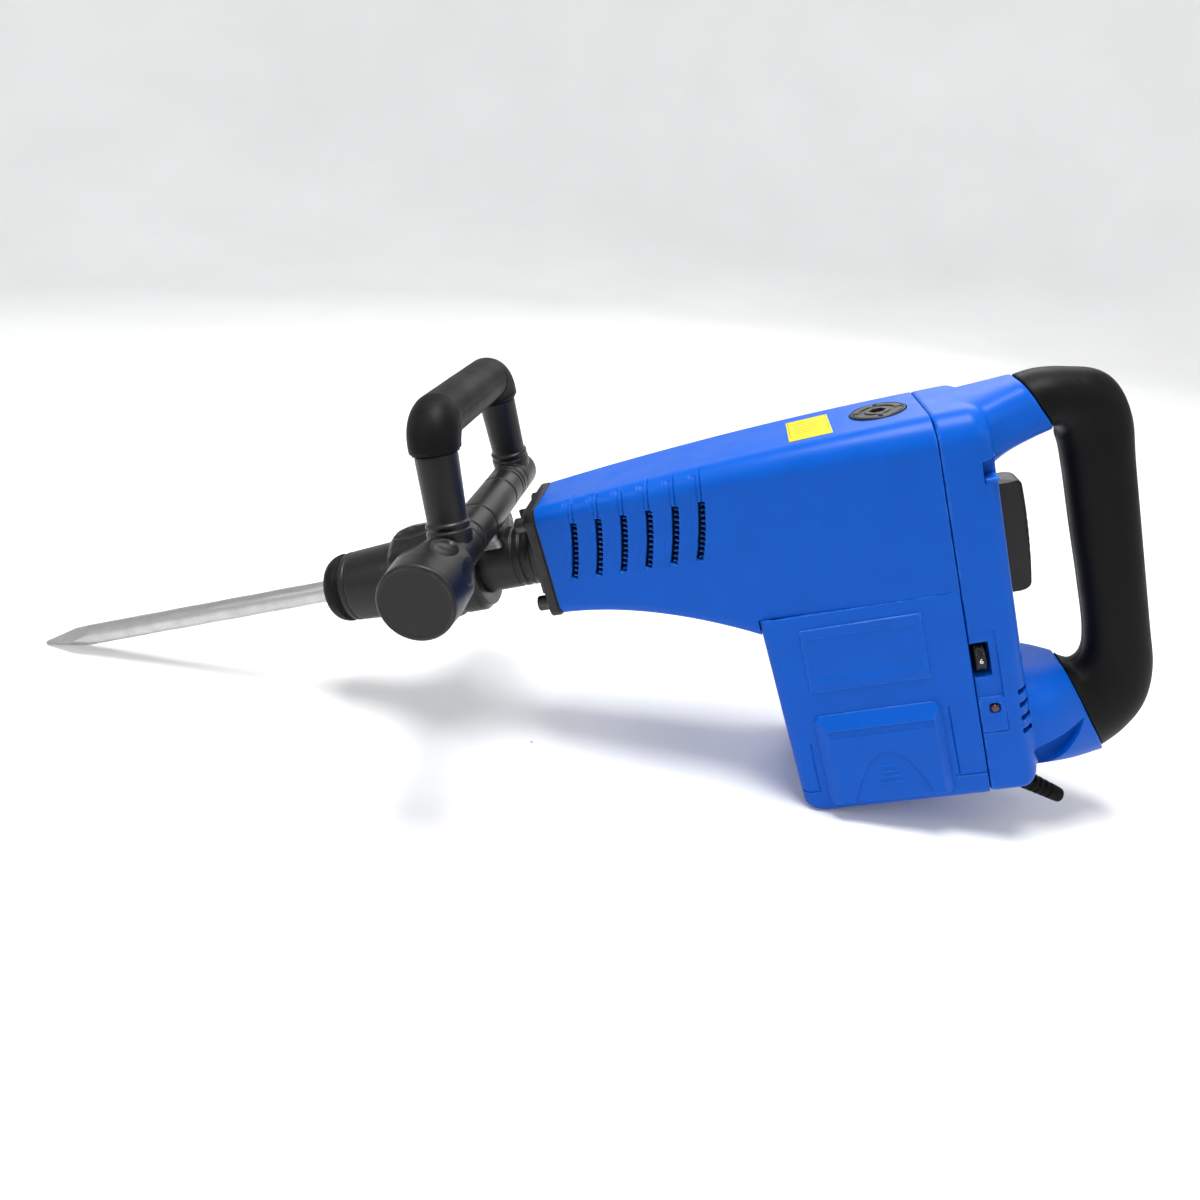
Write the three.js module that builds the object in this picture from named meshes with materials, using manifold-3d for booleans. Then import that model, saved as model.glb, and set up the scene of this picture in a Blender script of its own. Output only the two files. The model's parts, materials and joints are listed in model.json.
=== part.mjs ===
// Electric demolition hammer: an L-shaped body with a pointed chisel, a D-shaped rear grip
// and a clamp-on front loop handle. Millimetres, +Z up.
//
// Every piece is drawn in the tool frame: X runs along the tool axis from the chisel (-X) to the
// rear grip (+X), Y across the tool, Z away from the motor. Its origin is on the tool axis at the
// front face of the flange. The whole tool is then leaned forward so that it lies as it does on a
// bench, on the chisel point and the front lower edge of the motor housing.
import * as THREE from 'three';
import { mergeVertices } from 'three/addons/utils/BufferGeometryUtils.js';
import Module from 'manifold-3d';

const wasm = await Module();
wasm.setup();

// ---- Driving dimensions -------------------------------------------------------------------
const GAP = 0.3;                  // clearance left between pieces that touch

const CHISEL_LENGTH = 400;
const CHISEL_TAIL_X = -61.5;      // rear end of the shank
const SHANK_RADIUS = 9;           // 18 mm shank
const SHAFT_RADIUS = 8.6;
const POINT_LENGTH = 44;
const TIP_RADIUS = 1.6;           // the point is slightly blunt

const NOSE_X = -180;              // front of the dust cap
const HOLDER_RADIUS = 17;
const HOLDER_BORE = 9.4;
const SLEEVE_FRONT_X = -163;
const SLEEVE_STEP_X = -126;
const SLEEVE_REAR_X = -111;
const RING_FRONT_X = -117;
const RING_FLOOR_X = -97;         // end of the pocket that the sleeve slides into
const RING_REAR_X = -75;
const RING_RADIUS = 39;
const RING_FLUTES = 9;

const NECK_RADIUS = 23.3;
const CLAMP_RADIUS = 36;          // front handle's clamp, behind the fluted ring
const CLAMP_X = [-73, -49];
const FLANGE_THICKNESS = 8;
const FLANGE_HALF_WIDTH = 37;
const FLANGE_TOP = 44;
const FLANGE_BOTTOM = -40;

const SHELL_FRONT_X = FLANGE_THICKNESS + GAP;
const SEAM_X = 280;               // barrel and motor housings end here, the rear housing begins
const SEAM_Z = -61.8;             // barrel housing above, motor housing below
const BASE_Z = -218.6;            // underside of the motor housing
const SHELL_WALL = 3.4;
const BARREL_TOP_REAR = 56;
const BARREL_HALF_WIDTH_REAR = 50;
const MOTOR_FRONT_TOP_X = 147;
const MOTOR_FRONT_BOTTOM_X = 152;
const MOTOR_HALF_WIDTH_TOP = 50.2;
const MOTOR_HALF_WIDTH_BOTTOM = 54.8;
const REAR_FACE_X = 314.6;

const VENT_COUNT = 6;
const VENT_PITCH = 18.3;
const VENT_FIRST_X = 31.5;
const VENT_MID_Z = 16;
const VENT_LENGTH = 52;
const VENT_WIDTH = 6.5;
const VENT_DEPTH = 1.6;
const VENT_CUTTER = 20;           // how far the tool that sinks the vents reaches
const VENT_LEAN = THREE.MathUtils.degToRad(14);

const BAR_X = -37;                // front handle: cross bar over the neck
const BAR_Z = 41;
const BAR_RADIUS = 15.5;
const LEG_Y = 85;
const EYE_HALF = 16.4;            // half the width of a leg's eye round the bar's bolt
const LOOP_LEAN = THREE.MathUtils.degToRad(5.5);
const LEG_TOE = THREE.MathUtils.degToRad(7);   // the legs draw together towards the grip
const LOOP_SPLIT = 68;            // from the bar to where the rubber grip starts
const LOOP_CORNER = 20;
const GRIP_TUBE_RADIUS = 17;
const KNOB_FACE_Y = -159;
const KNOB_REAR_Y = -102.5;
const KNOB_RADIUS = 25;

const MOTOR_X = 224;              // upright motor shaft
const CRANK_X = 176;              // upright crank shaft
const CRANK_THROW = 15;
const PINION_TEETH = 6;
const GEAR_TEETH = 30;
const TOOTH_MODULE = 8 / 3;
const CYLINDER_BORE = 22;
const CYLINDER_REAR_X = 128;
const PISTON_X = 100;             // piston face at its rearmost
const WRIST_X = 116;
const PIN_X = CRANK_X + CRANK_THROW;
const COMMUTATOR_Z = -179;

const OIL_X = 252.5;              // oil filler on top of the barrel housing
const OIL_CAP_RADIUS = 18.6;
const LABEL = { x0: 191, x1: 220, y0: -27, y1: 21 };
const COVER_X = [170, 256];       // clip-on covers over the brushes
const COVER_Z = [-212, -139];
const COVER_BEVEL_Z = -158;
const COVER_DEPTH = 6.5;
const PLATE_X = [172, 253];       // blank name panels
const PLATE_Z = [-121, -72];
const PADDLE_TOP = -7.6;
const PADDLE_BOTTOM = -88.6;
const DIAL = { x: 286.2, y: -42, z: -114, radius: 11 };
const LAMP = { x: 290.6, z: -151 };
const REAR_SCREWS = [[30, -20], [-30, -20], [30, -120], [-30, -120]];
const BOOT_Y = -20;               // cord strain relief, under the rear housing
const BOOT_ENTRY = [290, -220.4];
const BOOT_LENGTH = 54;
const BOOT_ANGLE = -38.4;

// ---- Materials ----------------------------------------------------------------------------
function finish(color, roughness, metalness = 0) {
  return new THREE.MeshStandardMaterial({ color, roughness, metalness });
}
const blueShell = () => finish('#0a4db8', 0.42);
const blackPlastic = () => finish('#1b1b1d', 0.5);
const rubber = () => finish('#222223', 0.75);
const steel = () => finish('#8d8f92', 0.35, 1);
const darkSteel = () => finish('#3a3b3e', 0.4, 1);
const aluminium = () => finish('#b9bbbd', 0.4, 1);
const copper = () => finish('#b4703c', 0.35, 1);
const brass = () => finish('#b9974a', 0.35, 1);
const yellowFilm = () => finish('#f5eb14', 0.4);

// ---- Solid helpers ------------------------------------------------------------------------
function closed(geometry) {
  const bare = geometry.clone();
  bare.deleteAttribute('normal');
  bare.deleteAttribute('uv');
  const merged = mergeVertices(bare, 1e-3);
  const at = merged.attributes.position;
  const corners = [];
  let volume = 0;
  for (let i = 0; i < merged.index.count; i += 3) {
    const trio = [0, 1, 2].map((k) => merged.index.getX(i + k));
    if (new Set(trio).size < 3) continue;
    const [a, b, c] = trio.map((k) => new THREE.Vector3().fromBufferAttribute(at, k));
    volume += a.dot(b.cross(c));
    corners.push(...trio);
  }
  merged.setIndex(volume < 0 ? corners.reverse() : corners);
  return merged;
}

function toSolid(geometry) {
  const shape = closed(geometry);
  return new wasm.Manifold(new wasm.Mesh({
    numProp: 3,
    vertProperties: Float32Array.from(shape.attributes.position.array),
    triVerts: Uint32Array.from(shape.index.array),
  }));
}

function toGeometry(manifold) {
  const mesh = manifold.getMesh();
  const geometry = new THREE.BufferGeometry();
  geometry.setAttribute('position', new THREE.BufferAttribute(Float32Array.from(mesh.vertProperties), 3));
  geometry.setIndex(Array.from(mesh.triVerts));
  return geometry;
}

function join(...shapes) {
  return toGeometry(shapes.map(toSolid).reduce((all, next) => all.add(next)));
}

function cut(shape, ...tools) {
  return toGeometry(tools.map(toSolid).reduce((left, tool) => left.subtract(tool), toSolid(shape)));
}

function common(shape, tool) {
  return toGeometry(toSolid(shape).intersect(toSolid(tool)));
}

// A turned piece: [radius, distance] pairs, revolved about the X, Y or Z axis.
function turned(axis, profile, segments = 18) {
  const shape = new THREE.LatheGeometry(profile.map(([r, d]) => new THREE.Vector2(r, d)), segments);
  if (axis === 'x') shape.rotateZ(-Math.PI / 2);
  if (axis === 'z') shape.rotateX(Math.PI / 2);
  return closed(shape);
}

function rod(axis, radius, from, to, segments = 18) {
  return turned(axis, [[0, from], [radius, from], [radius, to], [0, to]], segments);
}

function tube(axis, inner, outer, from, to, segments = 18) {
  return turned(axis, [[inner, from], [outer, from], [outer, to], [inner, to], [inner, from]], segments);
}

function block(x0, x1, y0, y1, z0, z1) {
  const shape = new THREE.BoxGeometry(x1 - x0, y1 - y0, z1 - z0);
  return shape.translate((x0 + x1) / 2, (y0 + y1) / 2, (z0 + z1) / 2);
}

// A closed skin over a row of loops that all have the same number of points.
function loft(loops) {
  const points = loops.flat();
  const size = loops[0].length;
  const corners = [];
  for (let row = 0; row + 1 < loops.length; row += 1) {
    for (let i = 0; i < size; i += 1) {
      const a = row * size + i;
      const b = row * size + ((i + 1) % size);
      corners.push(a, b, b + size, a, b + size, a + size);
    }
  }
  const last = (loops.length - 1) * size;
  for (let i = 1; i + 1 < size; i += 1) {
    corners.push(0, i + 1, i);
    corners.push(last, last + i, last + i + 1);
  }
  const shape = new THREE.BufferGeometry().setFromPoints(points);
  shape.setIndex(corners);
  return closed(shape);
}

// A rounded rectangle as [across, up] pairs. Radii are for the top and the bottom corners.
function roundedOutline(halfWidth, top, bottom, topRadius, bottomRadius = topRadius, steps = 4) {
  const centres = [
    [halfWidth - topRadius, top - topRadius, topRadius, 0],
    [topRadius - halfWidth, top - topRadius, topRadius, 1],
    [bottomRadius - halfWidth, bottom + bottomRadius, bottomRadius, 2],
    [halfWidth - bottomRadius, bottom + bottomRadius, bottomRadius, 3],
  ];
  const outline = [];
  for (const [across, up, radius, quarter] of centres) {
    for (let i = 0; i <= steps; i += 1) {
      const angle = (quarter + i / steps) * (Math.PI / 2);
      outline.push([across + radius * Math.cos(angle), up + radius * Math.sin(angle)]);
    }
  }
  return outline;
}

// An oval tube along a path in the XZ plane. Each station has its centre, the path's direction in
// degrees above +X, and its half sizes in the plane and across it. A squareness under 1 fills out the
// oval's corners.
function spine(stations, points = 16, squareness = 1) {
  const blend = (value) => Math.sign(value) * Math.abs(value) ** squareness;
  return loft(stations.map(([x, z, degrees, half, halfAcross]) => {
    const angle = THREE.MathUtils.degToRad(degrees);
    const loop = [];
    for (let i = 0; i < points; i += 1) {
      const turn = (i / points) * 2 * Math.PI;
      const up = half * blend(Math.sin(turn));
      const side = halfAcross * blend(Math.cos(turn));
      loop.push(new THREE.Vector3(x - up * Math.sin(angle), side, z + up * Math.cos(angle)));
    }
    return loop;
  }));
}

const tool = new THREE.Group();

function put(name, geometry, material, parent = tool) {
  const mesh = new THREE.Mesh(geometry, material);
  mesh.name = name;
  parent.add(mesh);
  return mesh;
}

// ---- Chisel and tool holder ---------------------------------------------------------------
function makeChisel() {
  const tip = CHISEL_TAIL_X - CHISEL_LENGTH;
  const shaft = turned('x', [
    [0, tip + POINT_LENGTH - 1], [SHAFT_RADIUS, tip + POINT_LENGTH - 1],
    [SHAFT_RADIUS, NOSE_X - 2], [SHANK_RADIUS, NOSE_X + 2],
    [SHANK_RADIUS, CHISEL_TAIL_X - 2], [SHANK_RADIUS - 2, CHISEL_TAIL_X], [0, CHISEL_TAIL_X],
  ], 20);
  const square = (x, radius) => [0, 1, 2, 3].map((corner) => {
    const angle = (corner * Math.PI) / 2;
    return new THREE.Vector3(x, radius * Math.cos(angle), radius * Math.sin(angle));
  });
  const pyramid = loft([square(tip, TIP_RADIUS), square(tip + POINT_LENGTH + 12, SHAFT_RADIUS * 1.5)]);
  const limit = rod('x', SHAFT_RADIUS, tip - 1, tip + POINT_LENGTH + 10, 24);
  const grooves = [[5.6, 12], [-12, -5.6]].map(([low, high]) => block(-144, -104, -3.6, 3.6, low, high));
  return cut(join(shaft, common(pyramid, limit)), ...grooves);
}

function makeLockingSegment(side) {
  const bar = block(-140, -128, -3, 3, 6.2, 16.6);
  const trimmed = common(bar, rod('x', 16.6, -141, -127));
  return side > 0 ? trimmed : closed(trimmed.rotateX(Math.PI));
}

function makeToolHolder() {
  const body = tube('x', HOLDER_BORE, HOLDER_RADIUS, SLEEVE_FRONT_X + GAP, CHISEL_TAIL_X + 0.5);
  return cut(body, block(-140.4, -127.6, -3.4, 3.4, -20, 20));
}

function makeDustCap() {
  return turned('x', [
    [SHANK_RADIUS + 0.6, NOSE_X], [19, NOSE_X], [23, NOSE_X + 2.5], [25.8, NOSE_X + 6.5],
    [27, NOSE_X + 11], [27, NOSE_X + 13], [25.4, NOSE_X + 13.6], [25.4, NOSE_X + 16.4],
    [SHANK_RADIUS + 0.6, NOSE_X + 16.4], [SHANK_RADIUS + 0.6, NOSE_X],
  ], 28);
}

function makeLockingSleeve() {
  const bore = HOLDER_RADIUS + GAP;
  return turned('x', [
    [bore, SLEEVE_FRONT_X], [26.6, SLEEVE_FRONT_X], [27.2, SLEEVE_FRONT_X + 1], [29.2, -125],
    [29.2, SLEEVE_REAR_X], [21.5, SLEEVE_REAR_X], [21.5, SLEEVE_STEP_X], [bore, SLEEVE_STEP_X],
    [bore, SLEEVE_FRONT_X],
  ], 28);
}

function makeSleeveSpring() {
  const turns = 3;
  class Coil extends THREE.Curve {
    getPoint(t) {
      const angle = t * turns * 2 * Math.PI;
      return new THREE.Vector3(SLEEVE_STEP_X + 1.5 + 11 * t, 19.3 * Math.cos(angle), 19.3 * Math.sin(angle));
    }
  }
  const wire = new THREE.Shape().absarc(0, 0, 0.9, 0, 2 * Math.PI);
  return closed(new THREE.ExtrudeGeometry(wire, { extrudePath: new Coil(), steps: 24, curveSegments: 2 }));
}

// The fluted ring turns the chisel to its working position.
function makeIndexRing() {
  const ring = turned('x', [
    [HOLDER_RADIUS + GAP, RING_FLOOR_X], [29.8, RING_FLOOR_X], [29.8, RING_FRONT_X], [34, RING_FRONT_X],
    [37.5, RING_FRONT_X + 5], [RING_RADIUS, RING_FRONT_X + 12], [RING_RADIUS, RING_REAR_X - 9],
    [37, RING_REAR_X], [HOLDER_RADIUS + GAP, RING_REAR_X], [HOLDER_RADIUS + GAP, RING_FLOOR_X],
  ], 27);
  const flutes = [];
  for (let i = 0; i < RING_FLUTES; i += 1) {
    const angle = ((i + 0.5) / RING_FLUTES) * 2 * Math.PI;
    const flute = new THREE.SphereGeometry(1, 8, 5).scale(17, 9.5, 9.5);
    flute.translate((RING_FRONT_X + RING_REAR_X) / 2 - 2, 0, RING_RADIUS + 5.8).rotateX(angle);
    flutes.push(flute);
  }
  return cut(ring, ...flutes);
}

put('chisel', makeChisel(), steel());
put('dust_cap', makeDustCap(), rubber());
put('tool_holder', makeToolHolder(), darkSteel());
put('locking_segment_upper', makeLockingSegment(1), steel());
put('locking_segment_lower', makeLockingSegment(-1), steel());
put('locking_sleeve', makeLockingSleeve(), blackPlastic());
put('sleeve_spring', makeSleeveSpring(), steel());
put('index_ring', makeIndexRing(), blackPlastic());

// ---- Front housing: neck and flange -------------------------------------------------------
const BOLT_PLACES = [[28, 33], [-28, 33], [28, -29.5], [-28, -29.5]];
const BOLT_RADIUS = 3;

function makeFrontHousing() {
  const neck = turned('x', [
    [17.4, RING_REAR_X + 0.6], [NECK_RADIUS, RING_REAR_X + 0.6], [NECK_RADIUS, -21], [22.3, -20.4],
    [22.3, -18.8], [NECK_RADIUS, -18.2], [NECK_RADIUS, -11], [25.6, -10.4], [25.6, 1],
    [14.4, 1], [14.4, -54], [17.4, -54], [17.4, RING_REAR_X + 0.6],
  ], 24);
  const outline = (x, inset) => {
    const [top, bottom] = [FLANGE_TOP - inset, FLANGE_BOTTOM + inset];
    const pairs = roundedOutline(FLANGE_HALF_WIDTH - inset, top, bottom, 8 - inset);
    return pairs.map(([y, z]) => new THREE.Vector3(x, y, z));
  };
  const plate = loft([outline(0, 1), outline(1, 0), outline(FLANGE_THICKNESS, 0)]);
  const holes = BOLT_PLACES.map(([y, z]) => rod('x', BOLT_RADIUS + GAP, -2, 12, 10).translate(0, y, z));
  return cut(join(neck, plate), rod('x', 14.4, -20, 12, 24), ...holes);
}

function makeFrontBolt() {
  const bolt = turned('x', [
    [0, -9], [4.6, -9], [5.6, -8.2], [5.6, -GAP], [BOLT_RADIUS, -GAP], [BOLT_RADIUS, 26], [0, 26],
  ], 12);
  return cut(bolt, rod('x', 2.9, -10, -5, 6));
}

put('front_housing', makeFrontHousing(), blackPlastic());
BOLT_PLACES.forEach(([y, z], i) => {
  put(`front_bolt_${i + 1}`, makeFrontBolt(), darkSteel()).position.set(0, y, z);
});

// ---- Front handle -------------------------------------------------------------------------
const bar = new THREE.Group();
bar.position.set(BAR_X, 0, BAR_Z);
tool.add(bar);

const loop = new THREE.Group();
loop.rotation.y = LOOP_LEAN;
bar.add(loop);

function makeHandleBar() {
  const ring = BAR_RADIUS - 1;
  const half = LEG_Y - EYE_HALF - GAP;
  return turned('y', [
    [5.6, -half], [BAR_RADIUS, -half], [BAR_RADIUS, 52.8], [ring, 53.2], [ring, 54.8], [BAR_RADIUS, 55.2],
    [BAR_RADIUS, half], [5.6, half], [5.6, -half],
  ], 20);
}

function makeClampBand() {
  const [front, rear] = CLAMP_X;
  const band = turned('x', [
    [NECK_RADIUS + GAP, front], [33, front], [CLAMP_RADIUS, front + 4], [CLAMP_RADIUS, rear - 6],
    [33, rear - 3], [33, rear], [NECK_RADIUS + GAP, rear], [NECK_RADIUS + GAP, front],
  ], 24);
  const saddle = block(-60, BAR_X + 11, -24, 24, 18, BAR_Z - 6);
  const whole = join(band, saddle);
  return cut(
    whole,
    rod('x', NECK_RADIUS + GAP, -60, -10, 24),
    rod('y', BAR_RADIUS + GAP, -60, 60).translate(BAR_X, 0, BAR_Z),
  );
}

function makeLeg(side) {
  const eye = tube('y', 5.6, 15.8, -EYE_HALF, EYE_HALF, 16);
  const shank = turned('z', [
    [0, 8], [14.6, 8], [14.8, 19], [13.8, 20], [13.8, 21.5], [14.6, 22], [14.6, 23.5], [13.2, 24.5],
    [14.4, LOOP_SPLIT], [0, LOOP_SPLIT],
  ], 16).rotateX(side * LEG_TOE);
  return cut(join(eye, shank), rod('y', 5.6, -20, 20, 16)).translate(0, side * LEG_Y, 0);
}

function makeLoopGrip() {
  const toe = THREE.MathUtils.radToDeg(LEG_TOE);
  const alongLeg = (distance, radius) => [
    -LEG_Y + distance * Math.sin(LEG_TOE), distance * Math.cos(LEG_TOE), 90 - toe, radius,
  ];
  const [bendAcross, bendUp] = alongLeg(LOOP_SPLIT + 3);
  const centre = [bendAcross + LOOP_CORNER * Math.cos(LEG_TOE), bendUp - LOOP_CORNER * Math.sin(LEG_TOE)];
  const stations = [alongLeg(LOOP_SPLIT + GAP, 15), alongLeg(LOOP_SPLIT + 1.5, 16.4)];
  for (let i = 0; i <= 5; i += 1) {
    const turn = toe + (i / 5) * (90 - toe);
    const angle = THREE.MathUtils.degToRad(turn);
    const swell = GRIP_TUBE_RADIUS + 1.2 * Math.sin(2 * angle);
    stations.push([
      centre[0] - LOOP_CORNER * Math.cos(angle), centre[1] + LOOP_CORNER * Math.sin(angle), 90 - turn, swell,
    ]);
  }
  const whole = [...stations, ...stations.map(([a, b, turn, r]) => [-a, b, -turn, r]).reverse()];
  const path = whole.map(([x, z, turn, r]) => [x, z, turn, r, r]);
  return spine(path).rotateZ(Math.PI / 2);
}

function makeClampBolt() {
  const head = LEG_Y + EYE_HALF + GAP;
  return turned('y', [
    [0, KNOB_REAR_Y - 22], [5, KNOB_REAR_Y - 22], [5, head], [12, head],
    [13.5, head + 1], [13.5, head + 2], [10, head + 3.5], [0, head + 3.5],
  ], 28);
}

function makeKnob() {
  const body = turned('y', [
    [0, KNOB_FACE_Y], [KNOB_RADIUS - 2, KNOB_FACE_Y], [KNOB_RADIUS, KNOB_FACE_Y + 2],
    [KNOB_RADIUS + 1, KNOB_FACE_Y + 16], [KNOB_RADIUS, KNOB_FACE_Y + 32], [21, KNOB_REAR_Y - 6],
    [18, KNOB_REAR_Y], [5.4, KNOB_REAR_Y], [5.4, KNOB_REAR_Y - 24], [0, KNOB_REAR_Y - 24],
  ], 21);
  const scallops = [];
  for (let i = 0; i < 7; i += 1) {
    const scallop = new THREE.SphereGeometry(1, 8, 5).scale(9, 17, 8);
    scallop.translate(0, KNOB_FACE_Y + 33, KNOB_RADIUS + 4.4).rotateY(((i + 0.2) / 7) * 2 * Math.PI);
    scallops.push(scallop);
  }
  return cut(body, ...scallops);
}

put('handle_bar', makeHandleBar(), blackPlastic(), bar);
put('clamp_band', makeClampBand(), darkSteel());
put('clamp_bolt', makeClampBolt(), darkSteel(), bar);
put('knob', makeKnob(), blackPlastic(), bar);
put('loop_leg_near', makeLeg(-1), blackPlastic(), loop);
put('loop_leg_far', makeLeg(1), blackPlastic(), loop);
put('loop_grip', makeLoopGrip(), rubber(), loop);

// ---- Barrel, motor and rear housings ------------------------------------------------------
function barrelHalfWidth(x) {
  const along = (x - SHELL_FRONT_X) / (SEAM_X - SHELL_FRONT_X);
  return 37 + (BARREL_HALF_WIDTH_REAR - 37) * (1 - (1 - along) ** 1.8);
}

function motorHalfWidth(z) {
  const down = (SEAM_Z - z) / (SEAM_Z - BASE_Z);
  return MOTOR_HALF_WIDTH_TOP + (MOTOR_HALF_WIDTH_BOTTOM - MOTOR_HALF_WIDTH_TOP) * down;
}

function barrelSection(x, inset = 0) {
  const along = (x - SHELL_FRONT_X) / (SEAM_X - SHELL_FRONT_X);
  const belly = Math.min(1, (x - SHELL_FRONT_X) / (MOTOR_FRONT_TOP_X - SHELL_FRONT_X));
  const halfWidth = barrelHalfWidth(x);
  const top = FLANGE_TOP + (BARREL_TOP_REAR - FLANGE_TOP) * (1 - (1 - along) ** 1.9);
  const bottom = FLANGE_BOTTOM - 38 * belly ** 1.9;
  const radius = 9 + 11 * along;
  const pairs = roundedOutline(halfWidth - inset, top - inset, bottom + inset, radius - inset, 12 - inset);
  return pairs.map(([y, z]) => new THREE.Vector3(x, y, z));
}

function ventCutter(index, side) {
  const x = VENT_FIRST_X + index * VENT_PITCH;
  const y = barrelHalfWidth(x) - VENT_DEPTH + VENT_CUTTER / 2;
  const slot = new THREE.BoxGeometry(VENT_WIDTH, VENT_CUTTER, VENT_LENGTH);
  return slot.rotateY(VENT_LEAN).translate(x, side * y, VENT_MID_Z);
}

function makeBarrelHousing() {
  const stations = [SHELL_FRONT_X, 25, 45, 70, 95, 120, 140, MOTOR_FRONT_TOP_X, 190, 235, SEAM_X - GAP];
  const outer = loft(stations.map((x) => barrelSection(x)));
  const cavity = [SHELL_FRONT_X + SHELL_WALL, 45, 80, 120, 150, 200, SEAM_X + 5];
  const inner = loft(cavity.map((x) => barrelSection(Math.min(x, SEAM_X), SHELL_WALL).map((p) => p.setX(x))));
  const mouth = rod('x', 27, 0, 20, 28);
  const below = block(MOTOR_FRONT_TOP_X - GAP, 300, -80, 80, -140, SEAM_Z);
  const bosses = BOLT_PLACES.map(([y, z]) => rod('x', 6, SHELL_FRONT_X + 1, 30, 8).translate(0, y, z));
  const holes = BOLT_PLACES.map(([y, z]) => rod('x', BOLT_RADIUS + GAP, 0, 27, 10).translate(0, y, z));
  const vents = [1, -1].flatMap((side) => (
    Array.from({ length: VENT_COUNT }, (_, index) => ventCutter(index, side))
  ));
  const fillerBoss = rod('z', 17, 44, 54).translate(OIL_X, 0, 0);
  const filler = [[13, 40], [15.3, 53.3], [OIL_CAP_RADIUS + 0.4, 54.6]].map(([radius, from]) => (
    rod('z', radius, from, 62).translate(OIL_X, 0, 0)
  ));
  const shell = join(cut(outer, inner, mouth), ...bosses, fillerBoss);
  return cut(shell, below, ...holes, ...vents, ...filler);
}

function motorSection(z, inset = 0) {
  const down = (SEAM_Z - z) / (SEAM_Z - BASE_Z);
  const front = MOTOR_FRONT_TOP_X + (MOTOR_FRONT_BOTTOM_X - MOTOR_FRONT_TOP_X) * down + inset;
  const pairs = roundedOutline(motorHalfWidth(z) - inset, SEAM_X - GAP - inset, front, 2, 8 - inset / 2);
  return pairs.map(([y, x]) => new THREE.Vector3(x, y, z));
}

function makeMotorHousing() {
  const rounding = [[0, 14, 6], [1.2, 7, 3], [4, 2.5, 1], [9, 0, 0]];
  const foot = rounding.map(([rise, frontInset, sideInset]) => (
    motorSection(BASE_Z + rise).map(({ x, y, z }) => {
      const across = 1 - sideInset / MOTOR_HALF_WIDTH_BOTTOM;
      return new THREE.Vector3(x < CRANK_X ? x + frontInset : x, y * across, z);
    })
  ));
  const outer = loft([...foot, motorSection(-140), motorSection(SEAM_Z - GAP)]);
  const inner = loft([
    motorSection(BASE_Z + 4.5, 8), motorSection(BASE_Z + 9, SHELL_WALL), motorSection(-140, SHELL_WALL),
    motorSection(SEAM_Z + 5, SHELL_WALL),
  ]);
  const windows = [[40, 60], [-60, -40]].map(([y0, y1]) => block(190, 246, y0, y1, -204, -160));
  const seat = tube('z', 11.3, 15, BASE_Z + 4, -206).translate(MOTOR_X, 0, 0);
  return join(cut(outer, inner, ...windows), seat);
}

// The rear housing's outline across the tool, drawn in by inset where its rear edges round off.
function rearSection(x, inset) {
  const pairs = roundedOutline(50 - inset, BARREL_TOP_REAR - inset, BASE_Z + inset, 20 - inset * 0.6, 6);
  return pairs.map(([y, z]) => {
    const widen = z < 0 ? motorHalfWidth(Math.min(z, SEAM_Z)) / MOTOR_HALF_WIDTH_TOP : 1;
    return new THREE.Vector3(x, y * widen, z);
  });
}

const TOP_ARM = [
  [296, 28, 0, 27.8, 44], [308, 32.5, 4, 24.5, 40], [322, 37, 10, 21.6, 34], [336, 40, 18, 20.4, 28.5],
  [349.3, 42.2, 24, 20.2, 24],
];
const LOWER_ROOT = [
  [298, -181.5, 0, 36, 47], [316, -182, 3, 36.4, 45.5], [337, -184.5, 9, 36.8, 38.5],
  [356.5, -187.4, 15.7, 37.6, 25],
];
const ARM_SQUARENESS = 0.62;

// A round bar on the strain relief's line: [distance past the housing's underside, radius].
function alongBoot(steps) {
  const angle = THREE.MathUtils.degToRad(BOOT_ANGLE);
  return spine(steps.map(([distance, radius]) => [
    BOOT_ENTRY[0] + distance * Math.cos(angle), BOOT_ENTRY[1] + distance * Math.sin(angle),
    BOOT_ANGLE, radius, radius,
  ]), 14).translate(0, BOOT_Y, 0);
}

function makeRearHousing() {
  const bulge = [[SEAM_X + GAP, 0], [301, 0], [306, 1.2], [310.5, 3.8], [313.4, 7.2], [REAR_FACE_X, 12]];
  const outer = loft(bulge.map(([x, inset]) => rearSection(x, inset)));
  const hollow = loft([
    rearSection(SEAM_X - 5, SHELL_WALL), rearSection(302, SHELL_WALL), rearSection(311, 12),
  ]);
  const paddleSlot = block(305, 340, -11.6, 11.6, PADDLE_BOTTOM - 0.6, PADDLE_TOP + 0.6);
  const dialSlot = block(281.5, 291, -60, -44, -128, -100);
  const lampHole = rod('y', 2.9, -60, -44, 12).translate(LAMP.x, 0, LAMP.z);
  const screws = REAR_SCREWS.flatMap(([y, z]) => [
    rod('x', 2.6, 286, 330, 10).translate(0, y, z), rod('x', 5.4, 309, 330, 12).translate(0, y, z),
  ]);
  const bosses = REAR_SCREWS.map(([y, z]) => rod('x', 7, 290, 312, 12).translate(0, y, z));
  const arms = [TOP_ARM, LOWER_ROOT].map((stations) => spine(stations, 24, ARM_SQUARENESS));
  const shell = join(cut(outer, hollow), ...bosses, ...arms);
  const interior = cut(hollow, ...bosses);
  const bootHole = alongBoot([[-8, 8.8], [16, 8.8]]);
  return cut(shell, interior, paddleSlot, dialSlot, lampHole, ...screws, bootHole);
}

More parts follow.
